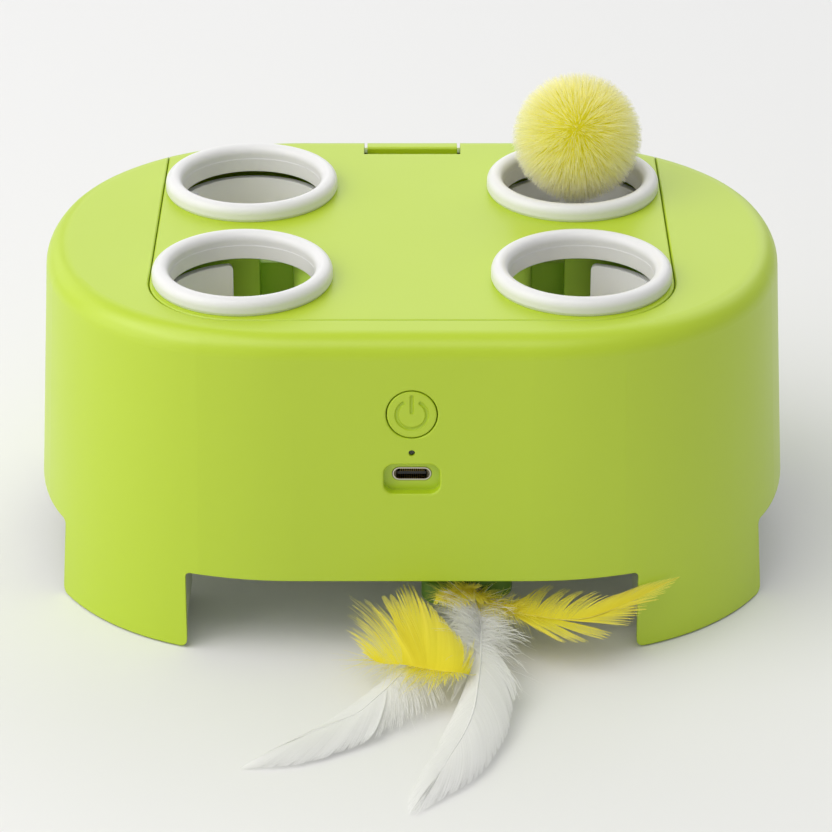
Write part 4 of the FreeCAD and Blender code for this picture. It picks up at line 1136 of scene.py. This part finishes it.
def yellow_right() -> Feather:
    """Describe the long yellow feather on the right.

    Returns:
        The feather.
    """
    upper = Vane(
        ((27.1, -62.5, 13), (29, -59.4, 14.4), (31.5, -57.6, 15.2), (35.7, -58.4, 15.4), (39.6, -60.6, 15.6),
         (44.3, -61.6, 16), (46.8, -63.2, 15.7), (50.4, -62.1, 16.2), (56.2, -59.2, 17), (63.4, -57, 17.2)),
        roots=(0.12, 0.72),
        gaps=(Gap(0.09, 0.5, 0.018), Gap(0.17, 0.5, 0.018), Gap(0.27, 0.7, 0.034), Gap(0.36, 0.5, 0.02),
              Gap(0.45, 0.7, 0.03), Gap(0.58, 0.65, 0.018)),
        cover=1.5, locks=1.2, pinch=0.7, depth=0.3, sweep=0.35, bulge=0.08, loose=0.1, fray=0.03)
    lower = Vane(
        ((26.4, -65.4, 10.6), (29.3, -69.5, 10), (32.3, -72.2, 9.6), (35.2, -74.5, 9.4), (38.7, -75.4, 9.6),
         (43.5, -75, 10), (46.7, -74.2, 10.6), (51.8, -69.8, 12), (56.7, -64.9, 14), (60.1, -61.8, 15.6),
         (63.4, -57, 17.2)),
        roots=(0.04, 0.62),
        gaps=(Gap(0.2, 0.5, 0.02), Gap(0.31, 0.6, 0.024), Gap(0.43, 0.65, 0.026), Gap(0.57, 0.85, 0.036),
              Gap(0.8, 0.4, 0.016)),
        cover=1.5, locks=1.3, pinch=0.7, depth=0.28, sweep=0.3, bulge=0.08, loose=0.1, fray=0.03)
    return Feather(
        "feather_yellow_right", "feather_yellow",
        spine=((15.4, -59.9, 14), (18.9, -61.2, 12.6), (24.1, -63.8, 11.6), (30.9, -65.6, 11.1),
               (35.7, -67.1, 11.3), (40.9, -67.5, 12), (47.5, -65.7, 13.4), (54.5, -61.9, 15),
               (59.6, -59.2, 16.3), (63.4, -57, 17.2)),
        vanes=(upper, lower),
        fluff=(Fluff(1100, (0.0, 0.2), 4.2, (20, 120), rise=0.5, width=0.12),
               Fluff(200, (0.1, 0.3), 6, (30, 80))),
        quill=0.16, seed=14)


def yellow_small() -> Feather:
    """Describe the small yellow tuft at the root.

    Returns:
        The feather.
    """
    ragged = {"cover": 1.5, "pinch": 0.7, "depth": 0.4, "loose": 0.5, "fray": 0.12}
    upper = Vane(
        ((17.6, -60.4, 17), (14.6, -59.4, 17.2), (11.3, -58.6, 16.9), (8.2, -59.8, 16.2), (5.4, -62, 15.2)),
        roots=(0.1, 0.98), **ragged)
    lower = Vane(
        ((18.4, -63.8, 13.4), (15, -65.4, 13), (12, -66, 13), (8, -65.6, 13.2), (5, -64.4, 14)),
        roots=(0.02, 0.98), **ragged)
    return Feather(
        "feather_yellow_small", "feather_yellow",
        spine=((14.9, -59.9, 15), (13, -60.6, 15.6), (9.6, -62, 15.4), (5.4, -63.6, 14.8)),
        vanes=(upper, lower),
        fluff=(Fluff(700, (0.0, 0.8), 4.2, (20, 120), rise=0.5, width=0.12),),
        quill=0.12, seed=15)


@dataclass
class FeatherBunch:
    """The five feathers that the rotor drags over the floor."""

    white: StrandFinish
    yellow: StrandFinish

    def build(self) -> None:
        """Make every feather of the bunch."""
        coats = {"feather_white": self.white.build(), "feather_yellow": self.yellow.build()}
        for feather in (white_left(), white_front(), yellow_left(), yellow_right(), yellow_small()):
            feather.build(coats[feather.coat])


@dataclass
class Dressing:
    """Gives every carried-over part its finish."""

    def build(self) -> None:
        """Dress the parts, finish by finish."""
        lime = MouldedPlastic("lime_plastic", (0.71, 0.81, 0.10), (0.695, 0.80, 0.09), 0.37, gloss=0.8)
        white = MouldedPlastic("white_plastic", (0.90, 0.90, 0.895), (0.87, 0.87, 0.86), 0.33)
        # Base plate grey with a green tint: painted light, standing in for the green bounce light in the
        # shade under the body.
        bounce_tinted_grey = MouldedPlastic("base_plastic_green_bounce", (0.76, 0.79, 0.69), (0.73, 0.76, 0.66), 0.5)
        # Chassis green, partly its own colour and partly painted light: lightened to stand in for light that
        # does not reach down into the wells.
        green = MouldedPlastic("inner_green_painted_light", (0.82, 0.97, 0.40), (0.80, 0.95, 0.38), 0.5)
        # Rotor green darkened well below the housing's green: painted shade, standing in for the shade under
        # the housing.
        shade_darkened_green = MouldedPlastic("rotor_green_painted_shade", (0.34, 0.49, 0.07), (0.31, 0.46, 0.06), 0.5)
        natural = MouldedPlastic("gear_plastic", (0.90, 0.88, 0.82), (0.86, 0.84, 0.77), 0.4)
        board = MouldedPlastic("board_laminate", (0.05, 0.33, 0.17), (0.04, 0.28, 0.14), 0.35, grain=5000)
        dark = MouldedPlastic("dark_plastic", (0.09, 0.09, 0.09), (0.07, 0.07, 0.07), 0.45)
        wrap = MouldedPlastic("cell_wrap", (0.20, 0.42, 0.66), (0.18, 0.38, 0.60), 0.3, coat=0.2)
        rubber = MouldedPlastic("pad_rubber", (0.30, 0.31, 0.30), (0.26, 0.27, 0.26), 0.8, depth=0.1)
        steel = DrawnMetal("drawn_steel", (0.72, 0.72, 0.71))
        brass = DrawnMetal("turned_brass", (0.86, 0.70, 0.38), 0.28)
        clear = ClearPlastic("light_pipe_smoke", (0.34, 0.42, 0.16))
        socket = DrawnMetal("socket_steel", (0.80, 0.78, 0.70), 0.16)
        tongue = ContactPlastic("tongue_plastic", (0.05, 0.05, 0.05), (0.86, 0.74, 0.44))
        pale = MouldedPlastic("well_white", (0.95, 0.95, 0.965), (0.93, 0.93, 0.945), 0.4)
        wardrobe = [
            (lime, ["shell", "lid", "latch_tab", "power_button"]),
            (white, [kind + "_" + station for kind in ("ring", "carriage") for station in STATIONS]),
            (pale, ["well_" + station for station in STATIONS]),
            (bounce_tinted_grey, ["base_plate"]),
            (green, ["chassis", "selector_drum"]),
            (shade_darkened_green, ["feather_rotor"]),
            (natural, ["drum_gear", "lead_gear", "feather_gear", "crosshead"]),
            (board, ["circuit_board"]),
            (dark, ["switch_body", "switch_plunger"]),
            (tongue, ["port_tongue"]),
            (wrap, ["battery_cell"]),
            (rubber, ["foot_pads"]),
            (steel, ["lead_screw", "rotor_shaft", "ferrule", "base_screws", "turn_motor", "lift_motor",
                     "feather_motor"]),
            (socket, ["port_shell"]),
            (brass, ["lift_nut", "turn_pinion", "lift_pinion", "feather_pinion"]),
            (clear, ["light_pipe"]),
        ]
        for finish, nodes in wardrobe:
            material = finish.build()
            for node in nodes:
                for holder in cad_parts[node].material_slots:
                    holder.material = material
            LOG.info("%s on %s", finish.name, ", ".join(nodes))


@dataclass(frozen=True)
class Lamp:
    """Square soft light aimed at the toy."""

    name: str
    place: Point
    size: float
    power: float
    colour: Rgb = (1.0, 1.0, 1.0)
    aim: Point = (0, 0, 0.05)

    def hang(self) -> None:
        """Hang it in the scene."""
        data = bpy.data.lights.new(self.name, "AREA")
        data.color = self.colour
        data.size = self.size
        data.energy = self.power
        lamp = bpy.data.objects.new(self.name, data)
        lamp.location = self.place
        way = Vector(self.aim) - Vector(self.place)
        lamp.rotation_euler = way.to_track_quat("-Z", "Y").to_euler()
        bpy.context.scene.collection.objects.link(lamp)


@dataclass
class Studio:
    """Pale floor, soft lights and the camera at the photograph's angle."""

    eye: Point = (0.00097, -0.78297, 0.42725)
    pitch_deg: float = 26.847
    lens_px: float = 3520.3
    frame_px: float = 832.0
    sensor_mm: float = 36.0
    floor_colour: Rgb = (0.91, 0.91, 0.905)
    floor_size: float = 8.0
    room_colour: Rgba = (0.455, 0.46, 0.475, 1.0)
    lamps: tuple[Lamp, ...] = (
        Lamp("key", (-0.66, -0.30, 1.06), 1.1, 6.2, (1.0, 0.97, 0.94)),
        Lamp("side", (-1.30, -0.30, 0.65), 1.5, 8.6, (1.0, 0.99, 0.97)),
        Lamp("front", (-0.90, -1.45, 0.42), 1.2, 1.0),
        Lamp("brow", (0.0, -0.60, 1.18), 0.7, 1.8, (1.0, 0.98, 0.96)),
        Lamp("rim", (-0.95, 0.95, 0.60), 0.9, 1.8),
        Lamp("back", (0.15, 1.35, 0.75), 1.3, 4.6),
        Lamp("far", (0.85, 0.85, 1.25), 1.0, 3.3),
    )

    def build(self) -> None:
        """Set the stage."""
        self.camera()
        self.floor()
        self.room()
        for lamp in self.lamps:
            lamp.hang()
        bpy.context.scene.view_settings.view_transform = "Standard"

    def camera(self) -> None:
        """Place the camera."""
        data = bpy.data.cameras.new("camera")
        data.sensor_width = self.sensor_mm
        data.lens = self.sensor_mm * self.lens_px / self.frame_px
        data.clip_start = 0.01
        camera = bpy.data.objects.new("camera", data)
        camera.location = self.eye
        camera.rotation_euler = (math.radians(90 - self.pitch_deg), 0.0, 0.0)
        bpy.context.scene.collection.objects.link(camera)
        bpy.context.scene.camera = camera

    def floor(self) -> None:
        """Lay the pale floor."""
        half = self.floor_size / 2
        corners = [(-half, -half, 0), (half, -half, 0), (half, half, 0), (-half, half, 0)]
        mesh = bpy.data.meshes.new("floor")
        mesh.from_pydata(corners, [], [(0, 1, 2, 3)])
        material = Paper("floor_paper", self.floor_colour).build()
        link("floor", mesh, material)

    def room(self) -> None:
        """Give the room its even light."""
        world = bpy.data.worlds.new("room")
        world.use_nodes = True
        NodeSheet(world.node_tree).fill(
            world.node_tree.nodes["Background"], Color=self.room_colour, Strength=1.0)
        bpy.context.scene.world = world


def main() -> None:
    """Build the toy's looks in order."""
    logging.basicConfig(level=logging.INFO, format="%(message)s")
    Studio().build()
    Dressing().build()
    fur = StrandFinish(
        "pom_fibre", root=(0.995, 0.98, 0.24), body=(1.0, 0.985, 0.54), tip=(1.0, 0.998, 0.97),
        tint=(1.0, 0.998, 0.985), tinting=0.95, through=0.6)
    PomPom(fur).build()
    white = StrandFinish(
        "white_barbs", root=(0.97, 0.97, 0.965), body=(0.975, 0.975, 0.97), tip=(0.985, 0.985, 0.98),
        tint=(0.90, 0.90, 0.895), tinting=0.45, through=0.35)
    yellow = StrandFinish(
        "yellow_barbs", root=(0.96, 0.91, 0.20), body=(0.975, 0.94, 0.28), tip=(0.98, 0.95, 0.50),
        tint=(0.90, 0.84, 0.12), tinting=0.45, through=0.35)
    FeatherBunch(white, yellow).build()


if __name__ == "__main__":
    main()
